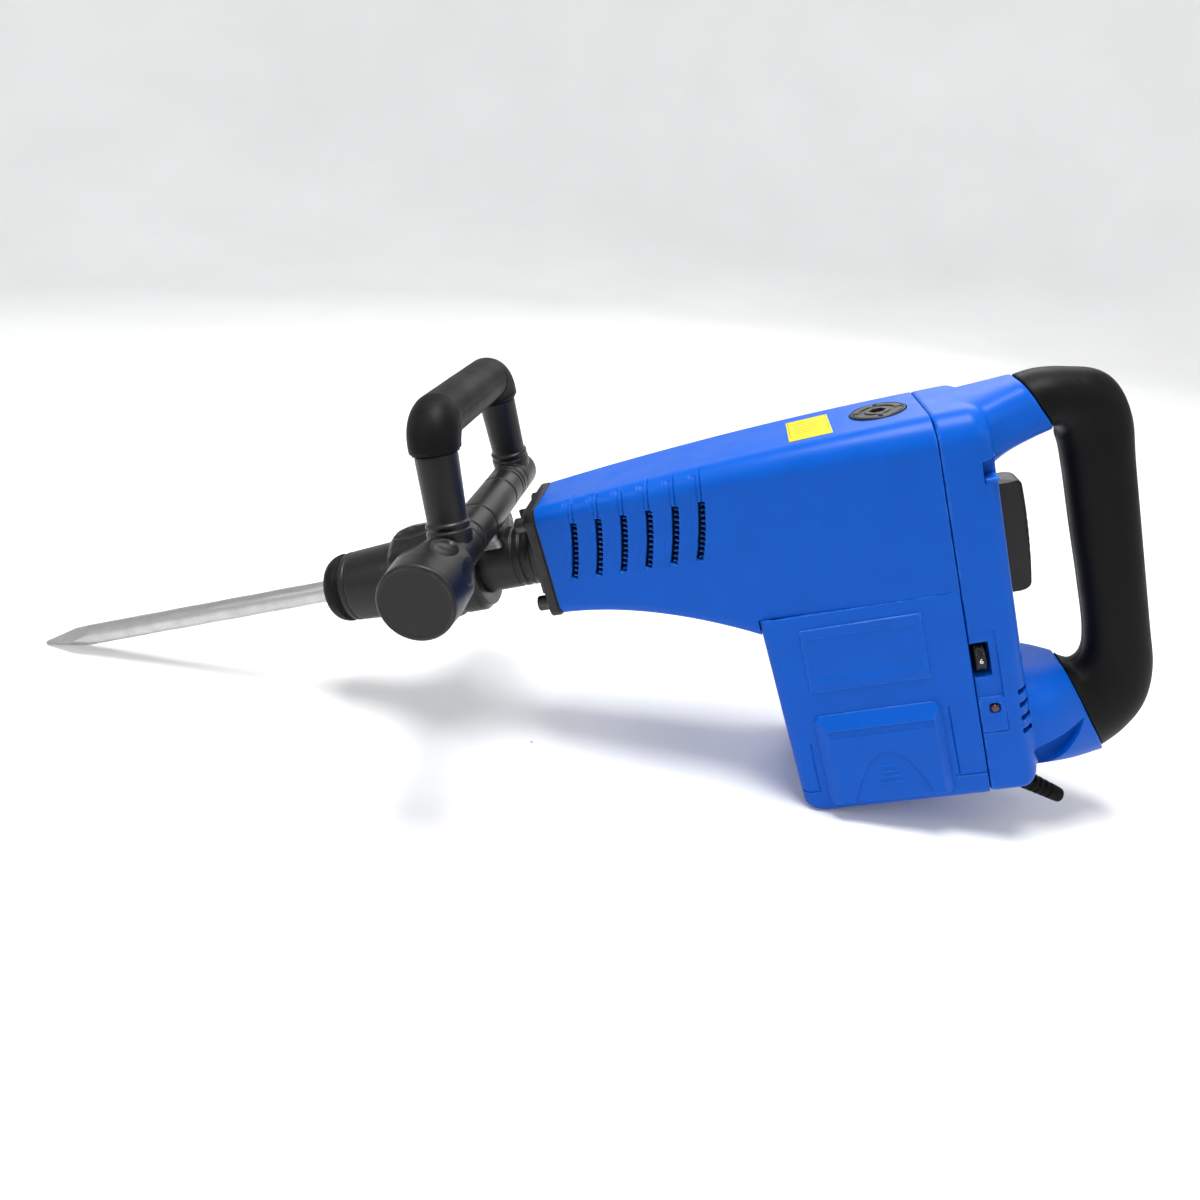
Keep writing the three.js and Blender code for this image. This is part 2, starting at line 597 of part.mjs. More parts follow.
put('barrel_housing', makeBarrelHousing(), blueShell());
put('motor_housing', makeMotorHousing(), blueShell());
put('rear_housing', makeRearHousing(), blueShell());
REAR_SCREWS.forEach(([y, z], i) => {
  const screw = turned('x', [[0, 286.5], [2.3, 286.5], [2.3, 309.3], [5, 309.3], [5, 312.3], [0, 312.3]], 12);
  put(`rear_screw_${i + 1}`, cut(screw, block(311.2, 314, -0.7, 0.7, -3.5, 3.5)), darkSteel())
    .position.set(0, y, z);
});

// ---- Rear grip and controls ---------------------------------------------------------------
const REAR_GRIP = [
  [349.7, 42.4, 24, 20.4, 24], [358, 42.6, 8, 19.6, 23.5], [368.5, 39.5, -16, 20.6, 22],
  [379.5, 33, -46, 24, 20.5], [385, 16, -76, 23.2, 19], [385.6, -8, -90, 22, 18.5],
  [386, -50, -90, 21.6, 18.5], [386.6, -95, -89, 21, 18.5], [386.6, -134, -91, 21, 18.5],
  [384.5, -157, -104, 23.6, 19], [377.5, -173.5, -126, 28.5, 20.5], [367.5, -182.5, -148, 33.5, 22.5],
  [356.8, -187.3, -164.3, 37.6, 25],
];

function makePaddle() {
  const loops = [[PADDLE_BOTTOM, 331], [-84, 334.4], [-24, 336.6], [-12, 336], [PADDLE_TOP, 332]];
  return loft(loops.map(([z, face]) => [
    [310.6, 11], [face - 3, 11], [face, 7.5], [face, -7.5], [face - 3, -11], [310.6, -11],
  ].map(([x, y]) => new THREE.Vector3(x, y, z))));
}

function makeSpeedDial() {
  const wheel = new THREE.Shape();
  const ridges = 16;
  for (let i = 0; i < ridges * 2; i += 1) {
    const radius = DIAL.radius - (i % 2) * 0.7;
    const angle = (i * Math.PI) / ridges;
    const step = i ? 'lineTo' : 'moveTo';
    wheel[step](radius * Math.cos(angle), radius * Math.sin(angle));
  }
  const shape = new THREE.ExtrudeGeometry(wheel, { depth: 7, bevelEnabled: false });
  return closed(shape.rotateY(Math.PI / 2).translate(DIAL.x - 3.5, DIAL.y, DIAL.z));
}

// A pad that lies on the sloping side of the motor housing.
function sidePad(side, [x0, x1], profile, bevel) {
  return loft(profile.map(([z, height]) => {
    const wall = motorHalfWidth(z) + GAP;
    const face = wall + height;
    const edge = Math.min(bevel, height / 2);
    return [
      [x0, wall], [x1, wall], [x1, face - edge], [x1 - edge, face], [x0 + edge, face], [x0, face - edge],
    ].map(([x, y]) => new THREE.Vector3(x, side * y, z));
  }));
}

function makeServiceCover(side) {
  const [bottom, top] = COVER_Z;
  return sidePad(side, COVER_X, [
    [bottom, COVER_DEPTH - 3], [bottom + 3, COVER_DEPTH], [COVER_BEVEL_Z, COVER_DEPTH], [top, 2],
  ], 3);
}

function makeLabel() {
  const loops = [LABEL.x0, (LABEL.x0 + LABEL.x1) / 2, LABEL.x1].map((x) => {
    const top = Math.max(...barrelSection(x).map((point) => point.z));
    return [[LABEL.y0, 0.1], [LABEL.y1, 0.1], [LABEL.y1, 0.7], [LABEL.y0, 0.7]]
      .map(([y, rise]) => new THREE.Vector3(x, y, top + rise));
  });
  return loft(loops);
}

function makeOilCap() {
  const cap = turned('z', [
    [0, 46], [12.7, 46], [12.7, 54.9], [OIL_CAP_RADIUS, 54.9], [OIL_CAP_RADIUS, 56.2],
    [OIL_CAP_RADIUS - 1, 56.8], [0, 56.8],
  ], 24);
  const notches = [0, 1, 2, 3].map((i) => (
    block(13, 16.4, -1.1, 1.1, 56, 60).rotateZ((i * Math.PI) / 2)
  ));
  return cut(cap, rod('z', 5.2, 50, 60, 6), ...notches).translate(OIL_X, 0, 0);
}

put('rear_grip', spine(REAR_GRIP, 18), rubber());
put('switch_paddle', makePaddle(), blackPlastic());
put('switch_body', block(284, 305, -13, 13, -84, -14), blackPlastic());
put('speed_dial', makeSpeedDial(), blackPlastic());
put('indicator_lamp', rod('y', 2.6, -53.6, -46, 12).translate(LAMP.x, 0, LAMP.z), blackPlastic());
put('cord_boot', alongBoot([[-7, 8], [4, 8], [24, 7], [50, 5.6], [BOOT_LENGTH, 4.2]]), rubber());
put('name_panel_left', sidePad(-1, PLATE_X, [[PLATE_Z[0], 0.9], [PLATE_Z[1], 0.9]], 0.4), blueShell());
put('name_panel_right', sidePad(1, PLATE_X, [[PLATE_Z[0], 0.9], [PLATE_Z[1], 0.9]], 0.4), blueShell());
put('service_cover_left', makeServiceCover(-1), blueShell());
put('service_cover_right', makeServiceCover(1), blueShell());
put('top_label', makeLabel(), yellowFilm());
put('oil_cap', makeOilCap(), blackPlastic());
put('oil_seal', tube('z', 12.95, 15, 53.5, 54.6).translate(OIL_X, 0, 0), rubber());

// ---- Hammer mechanism ---------------------------------------------------------------------
function makeImpactBolt() {
  return turned('x', [
    [0, CHISEL_TAIL_X + 0.8], [8.5, CHISEL_TAIL_X + 0.8], [8.5, -53.2], [14.1, -53.2], [14.1, -20],
    [9, -18], [9, 2], [0, 2],
  ]);
}

function makePiston() {
  const cup = turned('x', [
    [0, PISTON_X], [CYLINDER_BORE - GAP, PISTON_X], [CYLINDER_BORE - GAP, 127], [16, 127],
    [16, PISTON_X + 6.5], [0, PISTON_X + 6.5],
  ], 24);
  return cut(cup, rod('z', 4.2, -25, 25, 16).translate(WRIST_X, 0, 0));
}

function makeConnectingRod() {
  const small = rod('z', 8.5, -6, 6, 20).translate(WRIST_X, 0, 0);
  const large = rod('z', 12, -6, 6, 24).translate(PIN_X, 0, 0);
  const shank = block(WRIST_X + 4, PIN_X - 4, -4.5, 4.5, -4, 4);
  const bores = [
    rod('z', 4.3, -10, 10, 16).translate(WRIST_X, 0, 0), rod('z', 8, -10, 10, 20).translate(PIN_X, 0, 0),
  ];
  return cut(join(small, large, shank), ...bores);
}

// Straight-flanked spur teeth. A tooth points along +X when gapFirst is false.
function gearBody(teeth, z0, z1, gapFirst) {
  const pitch = (2 * Math.PI) / teeth;
  const radius = (TOOTH_MODULE * teeth) / 2;
  const root = radius - 1.15 * TOOTH_MODULE;
  const tip = radius + 0.75 * TOOTH_MODULE;
  const outline = new THREE.Shape();
  for (let i = 0; i < teeth; i += 1) {
    const middle = (i + (gapFirst ? 0.5 : 0)) * pitch;
    for (const [share, r] of [[-0.3, root], [-0.13, tip], [0.13, tip], [0.3, root]]) {
      const angle = middle + share * pitch;
      const step = outline.curves.length || outline.currentPoint.length() ? 'lineTo' : 'moveTo';
      outline[step](r * Math.cos(angle), r * Math.sin(angle));
    }
  }
  const body = new THREE.ExtrudeGeometry(outline, { depth: z1 - z0, bevelEnabled: false });
  return body.translate(0, 0, z0);
}

function makeCrankWheel() {
  const web = rod('z', 24, -19, -10, 24);
  const pin = rod('z', 7.6, -11, -7, 20).translate(CRANK_THROW, 0, 0);
  return join(gearBody(GEAR_TEETH, -30, -18, true), web, pin, rod('z', 7.9, -60, -29));
}

function makeGearPlate() {
  const plate = block(146, 272, -39, 39, -60, -52);
  return cut(plate, rod('z', 17.3, -70, -40).translate(CRANK_X, 0, 0),
    rod('z', 14.3, -70, -40).translate(MOTOR_X, 0, 0));
}

put('impact_bolt', makeImpactBolt(), steel());
put('cylinder', tube('x', CYLINDER_BORE, 25.5, SHELL_FRONT_X + GAP, CYLINDER_REAR_X, 24), steel());
put('striker', turned('x', [
  [0, 8.9], [9, 8.9], [9, 14], [CYLINDER_BORE - GAP, 14], [CYLINDER_BORE - GAP, 46], [0, 46],
], 24), steel());
put('piston', makePiston(), steel());
put('wrist_pin', rod('z', 3.9, -20.5, 20.5, 16).translate(WRIST_X, 0, 0), steel());
put('connecting_rod', makeConnectingRod(), darkSteel());
put('crank_wheel', makeCrankWheel(), steel()).position.x = CRANK_X;
put('crank_bearing', tube('z', 8.2, 17, -60, -50).translate(CRANK_X, 0, 0), steel());
put('gear_plate', makeGearPlate(), aluminium());

// ---- Motor --------------------------------------------------------------------------------
function makeArmature() {
  const core = turned('z', [
    [0, -213], [5, -213], [5, -204], [6, -204], [6, -166], [21, -164], [21, -158], [26.5, -158],
    [26.5, -97], [21, -97], [21, -91], [6, -89], [6, -31], [0, -31],
  ]);
  return join(core, gearBody(PINION_TEETH, -33, -16, false));
}

function makeFan() {
  const disc = join(tube('z', 6.3, 11, -86, -70), tube('z', 10, 37, -86, -84, 24));
  const blades = Array.from({ length: 7 }, (_, i) => (
    block(14, 35, -0.8, 0.8, -84.5, -74).rotateZ((i * 2 * Math.PI) / 7)
  ));
  return join(disc, ...blades);
}

function makeBrushHolder(side) {
  const [y0, y1] = side > 0 ? [16.8, 46] : [-46, -16.8];
  return cut(block(-8, 8, y0, y1, -11, 11), block(-5.3, 5.3, -60, 60, -8.3, 8.3))
    .translate(MOTOR_X, 0, COMMUTATOR_Z);
}

function makeBrush(side) {
  const [y0, y1] = side > 0 ? [15.4, 32] : [-32, -15.4];
  return block(-5, 5, y0, y1, -8, 8).translate(MOTOR_X, 0, COMMUTATOR_Z);
}

function makeControlBoard() {
  const parts = [block(299, 301, -32, 32, -196, -136), block(290, 300, -26, -4, -170, -146),
    block(291, 300, 4, 26, -190, -160)];
  return join(...parts);
}

put('armature', makeArmature(), darkSteel()).position.x = MOTOR_X;
put('commutator', tube('z', 6.2, 15, -190, -168).translate(MOTOR_X, 0, 0), copper());
put('fan', makeFan(), blackPlastic()).position.x = MOTOR_X;
put('bearing_upper', tube('z', 6.2, 14, -61, -51).translate(MOTOR_X, 0, 0), steel());
put('bearing_lower', tube('z', 5.2, 11, -213, -205.5).translate(MOTOR_X, 0, 0), steel());
put('stator', tube('z', 27.8, 44, -160, -95, 28).translate(MOTOR_X, 0, 0), darkSteel());
for (const [name, side] of [['left', -1], ['right', 1]]) {
  put(`brush_${name}`, makeBrush(side), darkSteel());
  put(`brush_holder_${name}`, makeBrushHolder(side), brass());
}
put('control_board', makeControlBoard(), blackPlastic());

// ---- Resting place ------------------------------------------------------------------------
// Leans the tool until its chisel point and motor housing touch the ground, and centres it.
function rest() {
  const tip = new THREE.Vector3(CHISEL_TAIL_X - CHISEL_LENGTH, 0, -TIP_RADIUS);
  const housing = tool.getObjectByName('motor_housing').geometry.attributes.position;
  const corner = new THREE.Vector3();
  let lean = 0;
  for (let i = 0; i < housing.count; i += 1) {
    corner.fromBufferAttribute(housing, i).sub(tip);
    lean = Math.max(lean, Math.atan2(-corner.z, corner.x));
  }
  tool.rotation.y = -lean;
  tool.updateMatrixWorld(true);
  const box = new THREE.Box3().setFromObject(tool, true);
  const middle = box.getCenter(new THREE.Vector3());
  tool.position.set(-middle.x, -middle.y, -box.min.z);
}

rest();

export default tool;
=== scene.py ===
"""Surfaces, finishes and studio for the electric demolition hammer.

Sizes are in millimetres in the tool's own frame: X along the tool axis towards the rear grip, Y
across the tool, Z away from the motor, with the origin on the axis at the front of the flange.
place() turns them into metres in the frame's own axes.
"""

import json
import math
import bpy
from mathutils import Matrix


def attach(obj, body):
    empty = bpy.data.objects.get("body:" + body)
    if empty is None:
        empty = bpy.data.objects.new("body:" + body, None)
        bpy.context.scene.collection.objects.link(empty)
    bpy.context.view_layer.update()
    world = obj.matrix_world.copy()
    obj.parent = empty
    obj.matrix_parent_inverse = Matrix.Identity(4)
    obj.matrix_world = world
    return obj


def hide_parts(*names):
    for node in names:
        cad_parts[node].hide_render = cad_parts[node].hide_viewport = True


bl_info = {
    "name": "Demolition hammer",
    "version": (1, 0, 0),
    "blender": (4, 5, 0),
    "location": "3D View > Sidebar > Hammer",
    "description": "Builds the shells, handles, controls and finishes of a demolition hammer",
    "category": "Object",
}

import bpy
import numpy as np
from bpy.props import FloatProperty, FloatVectorProperty, IntProperty, PointerProperty
from bpy.types import Operator, Panel, PropertyGroup
from mathutils import Matrix, Vector

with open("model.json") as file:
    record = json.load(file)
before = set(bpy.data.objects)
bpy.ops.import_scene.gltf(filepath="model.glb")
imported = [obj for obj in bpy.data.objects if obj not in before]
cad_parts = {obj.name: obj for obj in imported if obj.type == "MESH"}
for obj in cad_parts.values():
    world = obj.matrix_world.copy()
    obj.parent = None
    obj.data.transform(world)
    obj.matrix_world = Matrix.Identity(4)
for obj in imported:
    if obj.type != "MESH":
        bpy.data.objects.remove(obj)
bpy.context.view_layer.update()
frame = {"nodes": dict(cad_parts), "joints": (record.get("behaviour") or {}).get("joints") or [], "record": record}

# ---- The tool's frame and the sizes that come from it -------------------------------------------
MM = 0.001
JOINTS = {joint["name"]: joint for joint in frame["joints"]}
ALONG = Vector(JOINTS["holder_index"]["axis"]).normalized()
ACROSS = Vector((0, 1, 0))
UP = ALONG.cross(ACROSS)
POSE = (
    Matrix.Translation(Vector(JOINTS["holder_index"]["pos_m"]))
    @ Matrix((ALONG, ACROSS, UP)).transposed().to_4x4()
    @ Matrix.Scale(MM, 4)
)
TO_TOOL = POSE.inverted()


def tool_box(node):
    """Lowest and highest corner of a CAD node in the tool's frame, in millimetres."""
    points = np.array([TO_TOOL @ vertex.co for vertex in frame["nodes"][node].data.vertices])
    return points.min(0), points.max(0)


CHISEL_LOW, CHISEL_HIGH = tool_box("chisel")
CAP_LOW, CAP_HIGH = tool_box("dust_cap")
SLEEVE_LOW, SLEEVE_HIGH = tool_box("locking_sleeve")
RING_LOW, RING_HIGH = tool_box("index_ring")
NECK_LOW, NECK_HIGH = tool_box("front_housing")
BARREL_LOW, BARREL_HIGH = tool_box("barrel_housing")
MOTOR_LOW, MOTOR_HIGH = tool_box("motor_housing")
REAR_LOW, REAR_HIGH = tool_box("rear_housing")
CLAMP_LOW, CLAMP_HIGH = tool_box("clamp_band")
BAR_LOW, BAR_HIGH = tool_box("handle_bar")
KNOB_LOW, KNOB_HIGH = tool_box("knob")
COVER_LOW, COVER_HIGH = tool_box("service_cover_left")
PANEL_LOW, PANEL_HIGH = tool_box("name_panel_left")
LABEL_LOW, LABEL_HIGH = tool_box("top_label")
OIL_LOW, OIL_HIGH = tool_box("oil_cap")
DIAL_LOW, DIAL_HIGH = tool_box("speed_dial")
LAMP_LOW, LAMP_HIGH = tool_box("indicator_lamp")
PADDLE_LOW, PADDLE_HIGH = tool_box("switch_paddle")

SHAFT_RADIUS = 8.6
POINT_LENGTH = 44
BAR_X = (BAR_LOW[0] + BAR_HIGH[0]) / 2
BAR_Z = (BAR_LOW[2] + BAR_HIGH[2]) / 2
BAR_RADIUS = (BAR_HIGH[0] - BAR_LOW[0]) / 2
LEG_Y = 85
LEG_TOE = math.radians(7)
LOOP_LEAN = math.radians(5.5)
LOOP_SPLIT = 68
LOOP_CORNER = 20
GAP = 0.3
POLE = 0.8
WALL = 3.4
SEAM_X = BARREL_HIGH[0]
SEAM_Z = MOTOR_HIGH[2] + GAP
FLANGE_HALF = NECK_HIGH[1]
FLANGE_TOP = NECK_HIGH[2]
FLANGE_BOTTOM = NECK_LOW[2]
MOTOR_HALF_TOP = 50.2
VENT_COUNT = 6
VENT_FIRST_X = 31.5
VENT_PITCH = 18.3
VENT_MID_Z = 16
VENT_LOW_END = -27
VENT_HIGH_END = 15
VENT_LEAN = math.radians(14)
TOP_BEVEL = 10
SIDE_BEVEL = 8
SCREW_PLACES = [[30, -20], [-30, -20], [30, -120], [-30, -120]]
BOLT_PLACES = [[28, 33], [-28, 33], [28, -29.5], [-28, -29.5]]


# ---- Mesh making --------------------------------------------------------------------------------
def skin(rows, wrap=True, start_cap=False, end_cap=False):
    """Vertices and faces of a surface over rows of points that all have the same length."""
    rows = np.asarray(rows, float)
    count, size = rows.shape[:2]
    faces = []
    last = size if wrap else size - 1
    for row in range(count - 1):
        base = row * size
        for i in range(last):
            j = (i + 1) % size
            faces.append((base + i, base + j, base + size + j, base + size + i))
    if start_cap:
        faces.append(tuple(range(size))[::-1])
    if end_cap:
        faces.append(tuple(range((count - 1) * size, count * size)))
    return rows.reshape(-1, 3), faces


def soften(profile, radius=0.6, steps=3):
    """Rounds the corners of a (radius, distance) outline."""
    points = [np.array(point, float) for point in profile]
    rounded = [points[0]]
    for before, corner, after in zip(points, points[1:], points[2:]):
        back, ahead = before - corner, after - corner
        reach = min(radius, np.linalg.norm(back) / 2, np.linalg.norm(ahead) / 2)
        start = corner + back / (np.linalg.norm(back) + 1e-9) * reach
        end = corner + ahead / (np.linalg.norm(ahead) + 1e-9) * reach
        for i in range(steps + 1):
            t = i / steps
            rounded.append((1 - t) ** 2 * start + 2 * t * (1 - t) * corner + t**2 * end)
    rounded.append(points[-1])
    return np.array(rounded)


def refine(profile, spacing):
    """Adds points to an outline so that no step is longer than spacing."""
    dense = [profile[0]]
    for start, end in zip(profile, profile[1:]):
        parts = max(1, math.ceil(np.linalg.norm(end - start) / spacing))
        dense.extend(start + (end - start) * (i + 1) / parts for i in range(parts))
    return np.array(dense)


def turned(axis, profile, segments=96, radius=0.6, change=None, spacing=None, capped=False):
    """A surface of revolution about X, Y or Z. change(angle, distance, radius) alters the radius."""
    outline = soften(profile, radius)
    closed = [capped or outline[end, 0] < POLE for end in (0, -1)]
    outline[:, 0] = np.maximum(outline[:, 0], POLE)
    if spacing:
        outline = refine(outline, spacing)
    angles = np.linspace(0, 2 * math.pi, segments, endpoint=False)
    radii = np.repeat(outline[:, :1], segments, 1)
    distances = np.repeat(outline[:, 1:], segments, 1)
    if change:
        radii = change(angles[None, :], distances, radii)
    one, two = radii * np.cos(angles), radii * np.sin(angles)
    order = {"x": (distances, one, two), "y": (two, distances, one), "z": (one, two, distances)}
    return skin(np.stack(order[axis], -1), True, *closed)


def moved(part, x=0.0, y=0.0, z=0.0, turn=None):
    """A part turned by a 3 by 3 matrix, where one is given, and then shifted."""
    points, faces = part
    if turn is not None:
        points = points @ np.array(turn).T
    return points + np.array([x, y, z]), faces


def joined(*parts):
    """Several parts as one list of vertices and faces."""
    points, faces, start = [], [], 0
    for some_points, some_faces in parts:
        points.append(some_points)
        faces.extend(tuple(i + start for i in face) for face in some_faces)
        start += len(some_points)
    return np.concatenate(points), faces


def rounded_section(half, top, bottom, top_radius, bottom_radius, counts=(90, 20, 40)):
    """(across, up) points of a rounded rectangle. counts: points on a side, a corner, top and bottom."""
    side, corner, flat = counts
    arcs = [
        (half - top_radius, top - top_radius, top_radius, 0),
        (top_radius - half, top - top_radius, top_radius, 1),
        (bottom_radius - half, bottom + bottom_radius, bottom_radius, 2),
        (half - bottom_radius, bottom + bottom_radius, bottom_radius, 3),
    ]
    bends = []
    for across, up, radius, quarter in arcs:
        turn = (quarter + np.linspace(0, 1, corner)) * math.pi / 2
        bends.append(np.stack([across + radius * np.cos(turn), up + radius * np.sin(turn)], -1))
    outline = []
    for i, bend in enumerate(bends):
        following = bends[(i + 1) % 4][0]
        steps = flat if i in (0, 2) else side
        share = np.linspace(0, 1, steps + 2)[1:-1, None]
        outline += [bend, bend[-1] * (1 - share) + following * share]
    return np.concatenate(outline)


def smooth_path(stations, per_gap):
    """Passes a smooth curve through rows of numbers."""
    rows = np.array(stations, float)
    ends = np.vstack([2 * rows[0] - rows[1], rows, 2 * rows[-1] - rows[-2]])
    out = []
    for a, b, c, d in zip(ends, ends[1:], ends[2:], ends[3:]):
        for t in np.linspace(0, 1, per_gap, endpoint=False):
            out.append(0.5 * (2 * b + (c - a) * t + (2 * a - 5 * b + 4 * c - d) * t**2
                              + (3 * b - a - 3 * c + d) * t**3))
    out.append(rows[-1])
    return np.array(out)


def sweep(stations, columns=72, per_gap=8, squareness=1.0, change=None):
    """Rows of an oval tube in the XZ plane. Stations: x, z, direction in degrees, half, half across."""
    turn = np.linspace(0, 2 * math.pi, columns, endpoint=False)
    path = smooth_path(stations, per_gap)
    rows = []
    for step, (x, z, degrees, half, across) in enumerate(path):
        up = half * np.sign(np.sin(turn)) * np.abs(np.sin(turn)) ** squareness
        side = across * np.sign(np.cos(turn)) * np.abs(np.cos(turn)) ** squareness
        if change:
            up, side = change(step / (len(path) - 1), turn, up, side)
        angle = math.radians(degrees)
        rows.append(np.stack([x - up * math.sin(angle), side, z + up * math.cos(angle)], -1))
    return np.array(rows)


def rounded_ends(rows, depth=1.2):
    """Closes both ends of a tube of rows with a small rounded edge."""
    def closing(edge, inner):
        centre = edge.mean(0)
        outward = edge.mean(0) - inner.mean(0)
        outward /= np.linalg.norm(outward) + 1e-9
        size = np.linalg.norm(edge - centre, axis=1).mean()
        shares = [(1 - depth * (1 - math.cos(t)) / size, depth * math.sin(t)) for t in (0.5, 1.0, 1.57)]
        return [centre + (edge - centre) * k + outward * (rise - depth) for k, rise in shares]

    start = closing(rows[0], rows[1])[::-1]
    end = closing(rows[-1], rows[-2])
    return np.concatenate([start, rows[1:-1], end])


def outward_normals(rows):
    """Unit normals of a wrapped grid of points, pointing away from each row's middle."""
    along = np.gradient(rows, axis=0)
    around = np.roll(rows, -1, 1) - np.roll(rows, 1, 1)
    normal = np.cross(around, along)
    normal /= np.linalg.norm(normal, axis=-1, keepdims=True) + 1e-9
    middle = rows.mean(1, keepdims=True)
    if ((rows - middle) * normal).sum() < 0:
        normal = -normal
    return normal


def step_up(value, edge, width):
    """0 below edge, 1 above it, with a smooth rise of the given width."""
    t = np.clip((value - edge) / width + 0.5, 0, 1)
    return t * t * (3 - 2 * t)


def band(value, low, high, width=0.7):
    return step_up(value, low, width) * (1 - step_up(value, high, width))


def groove(value, centre, half, width=0.6):
    return band(value, centre - half, centre + half, width)


def place(part):
    points, faces = part
    homogeneous = np.c_[points, np.ones(len(points))]
    return (homogeneous @ np.array(POSE).T)[:, :3], faces


def sink(rows, depth):
    """Pushes a grid of points inwards by depth, and returns it with the depth at each point."""
    return rows - outward_normals(rows) * depth[..., None], depth.reshape(-1)


def new_object(name, part, sharp=40):
    points, faces = place(part)
    mesh = bpy.data.meshes.new(name)
    mesh.from_pydata(points.tolist(), [], faces)
    mesh.validate()
    mesh.shade_smooth()
    mesh.set_sharp_from_angle(angle=math.radians(sharp))
    made = bpy.data.objects.new(name, mesh)
    bpy.context.scene.collection.objects.link(made)
    return made


def face_outwards(made):
    bpy.context.view_layer.objects.active = made
    for other in bpy.context.selected_objects:
        other.select_set(False)
    made.select_set(True)
    bpy.ops.object.mode_set(mode="EDIT")
    bpy.ops.mesh.select_all(action="SELECT")
    bpy.ops.mesh.normals_make_consistent(inside=False)
    bpy.ops.object.mode_set(mode="OBJECT")


def coat(made, material):
    """Gives the whole of a piece one finish."""
    made.data.materials.clear()
    made.data.materials.append(finish(material))
    made.data.polygons.foreach_set("material_index", [0] * len(made.data.polygons))


def add_piece(name, part, body, nodes, material, recess=None, sharp=40):
    """Makes a piece in the tool's frame, gives it its finish and lets it ride on its body."""
    made = new_object(name, part, sharp)
    face_outwards(made)
    if recess is not None:
        # The depth stored here drives the painted shade in the finishes' recesses.
        mark = made.data.attributes.new("recess", "FLOAT", "POINT")
        depths = np.zeros(len(made.data.vertices), np.float32)
        depths[: len(recess)] = recess
        mark.data.foreach_set("value", depths)
    coat(made, material)
    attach(made, body)
    if nodes:
        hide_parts(*nodes)
    return made


def apply_modifiers(made):
    """Turns a piece's modifiers into plain mesh."""
    graph = bpy.context.evaluated_depsgraph_get()
    final = bpy.data.meshes.new_from_object(made.evaluated_get(graph))
    made.modifiers.clear()
    made.data = final


def carve(made, *tools):
    """Cuts closed parts out of a closed piece."""
    cutters = []
    for i, tool in enumerate(tools):
        cutter = new_object(f"{made.name}_tool_{i}", tool)
        face_outwards(cutter)
        modifier = made.modifiers.new(f"cut_{i}", "BOOLEAN")
        modifier.operation = "DIFFERENCE"
        modifier.solver = "MANIFOLD"
        modifier.object = cutter
        cutters.append(cutter)
    apply_modifiers(made)
    for cutter in cutters:
        bpy.data.objects.remove(cutter)
    made.data.shade_smooth()
    made.data.set_sharp_from_angle(angle=math.radians(32))


def box_part(x0, x1, y0, y1, z0, z1, radius=0.8):
    """A block with rounded edges along X, closed at both ends."""
    half, middle = (y1 - y0) / 2, (y0 + y1) / 2
    radius = min(radius, half * 0.98, (z1 - z0) * 0.49)
    rows = []
    for x, inset in ((x0, radius * 0.6), (x0 + radius * 0.6, 0), (x1 - radius * 0.6, 0), (x1, radius * 0.6)):
        outline = rounded_section(half - inset, z1 - inset, z0 + inset, max(radius - inset, 0.05),
                                  max(radius - inset, 0.05), (1, 5, 1))
        rows.append(np.c_[np.full(len(outline), x), outline[:, 0] + middle, outline[:, 1]])
    return skin(rows, True, True, True)


def rod_part(axis, radius, start, end, segments=64):
    return turned(axis, [(radius, start), (radius, end)], segments, capped=True)


# ---- Shared effects -----------------------------------------------------------------------------
def new_group(name, inputs, outputs):
    group = bpy.data.node_groups.new(name, "ShaderNodeTree")
    for label, kind, default in inputs:
        socket = group.interface.new_socket(name=label, in_out="INPUT", socket_type=kind)
        if default is not None:
            socket.default_value = default
    for label, kind in outputs:
        group.interface.new_socket(name=label, in_out="OUTPUT", socket_type=kind)
    return group, group.nodes.new("NodeGroupInput"), group.nodes.new("NodeGroupOutput")


def add_node(tree, kind, **settings):
    """Adds a node. Settings are its properties, and those that match a socket name set its value."""
    node = tree.nodes.new(kind)
    for label, value in settings.items():
        if label in node.inputs:
            node.inputs[label].default_value = value
        else:
            setattr(node, label, value)
    return node


def metres(tree):
    """Coordinates in metres that stay with the piece."""
    return tree.nodes.new("ShaderNodeTexCoord").outputs["Object"]


def math_node(tree, operation, one, two):
    node = add_node(tree, "ShaderNodeMath", operation=operation)
    for socket, value in zip(node.inputs, (one, two)):
        if isinstance(value, (int, float)):
            socket.default_value = value
        else:
            tree.links.new(value, socket)
    return node.outputs[0]


def mix_colour(tree, factor, one, two, blend="MIX"):
    node = add_node(tree, "ShaderNodeMix", data_type="RGBA", blend_type=blend)
    sockets = (node.inputs[0], node.inputs[6], node.inputs[7])
    for socket, value in zip(sockets, (factor, one, two)):
        if isinstance(value, (int, float, tuple)):
            socket.default_value = value
        else:
            tree.links.new(value, socket)
    return node.outputs[2]


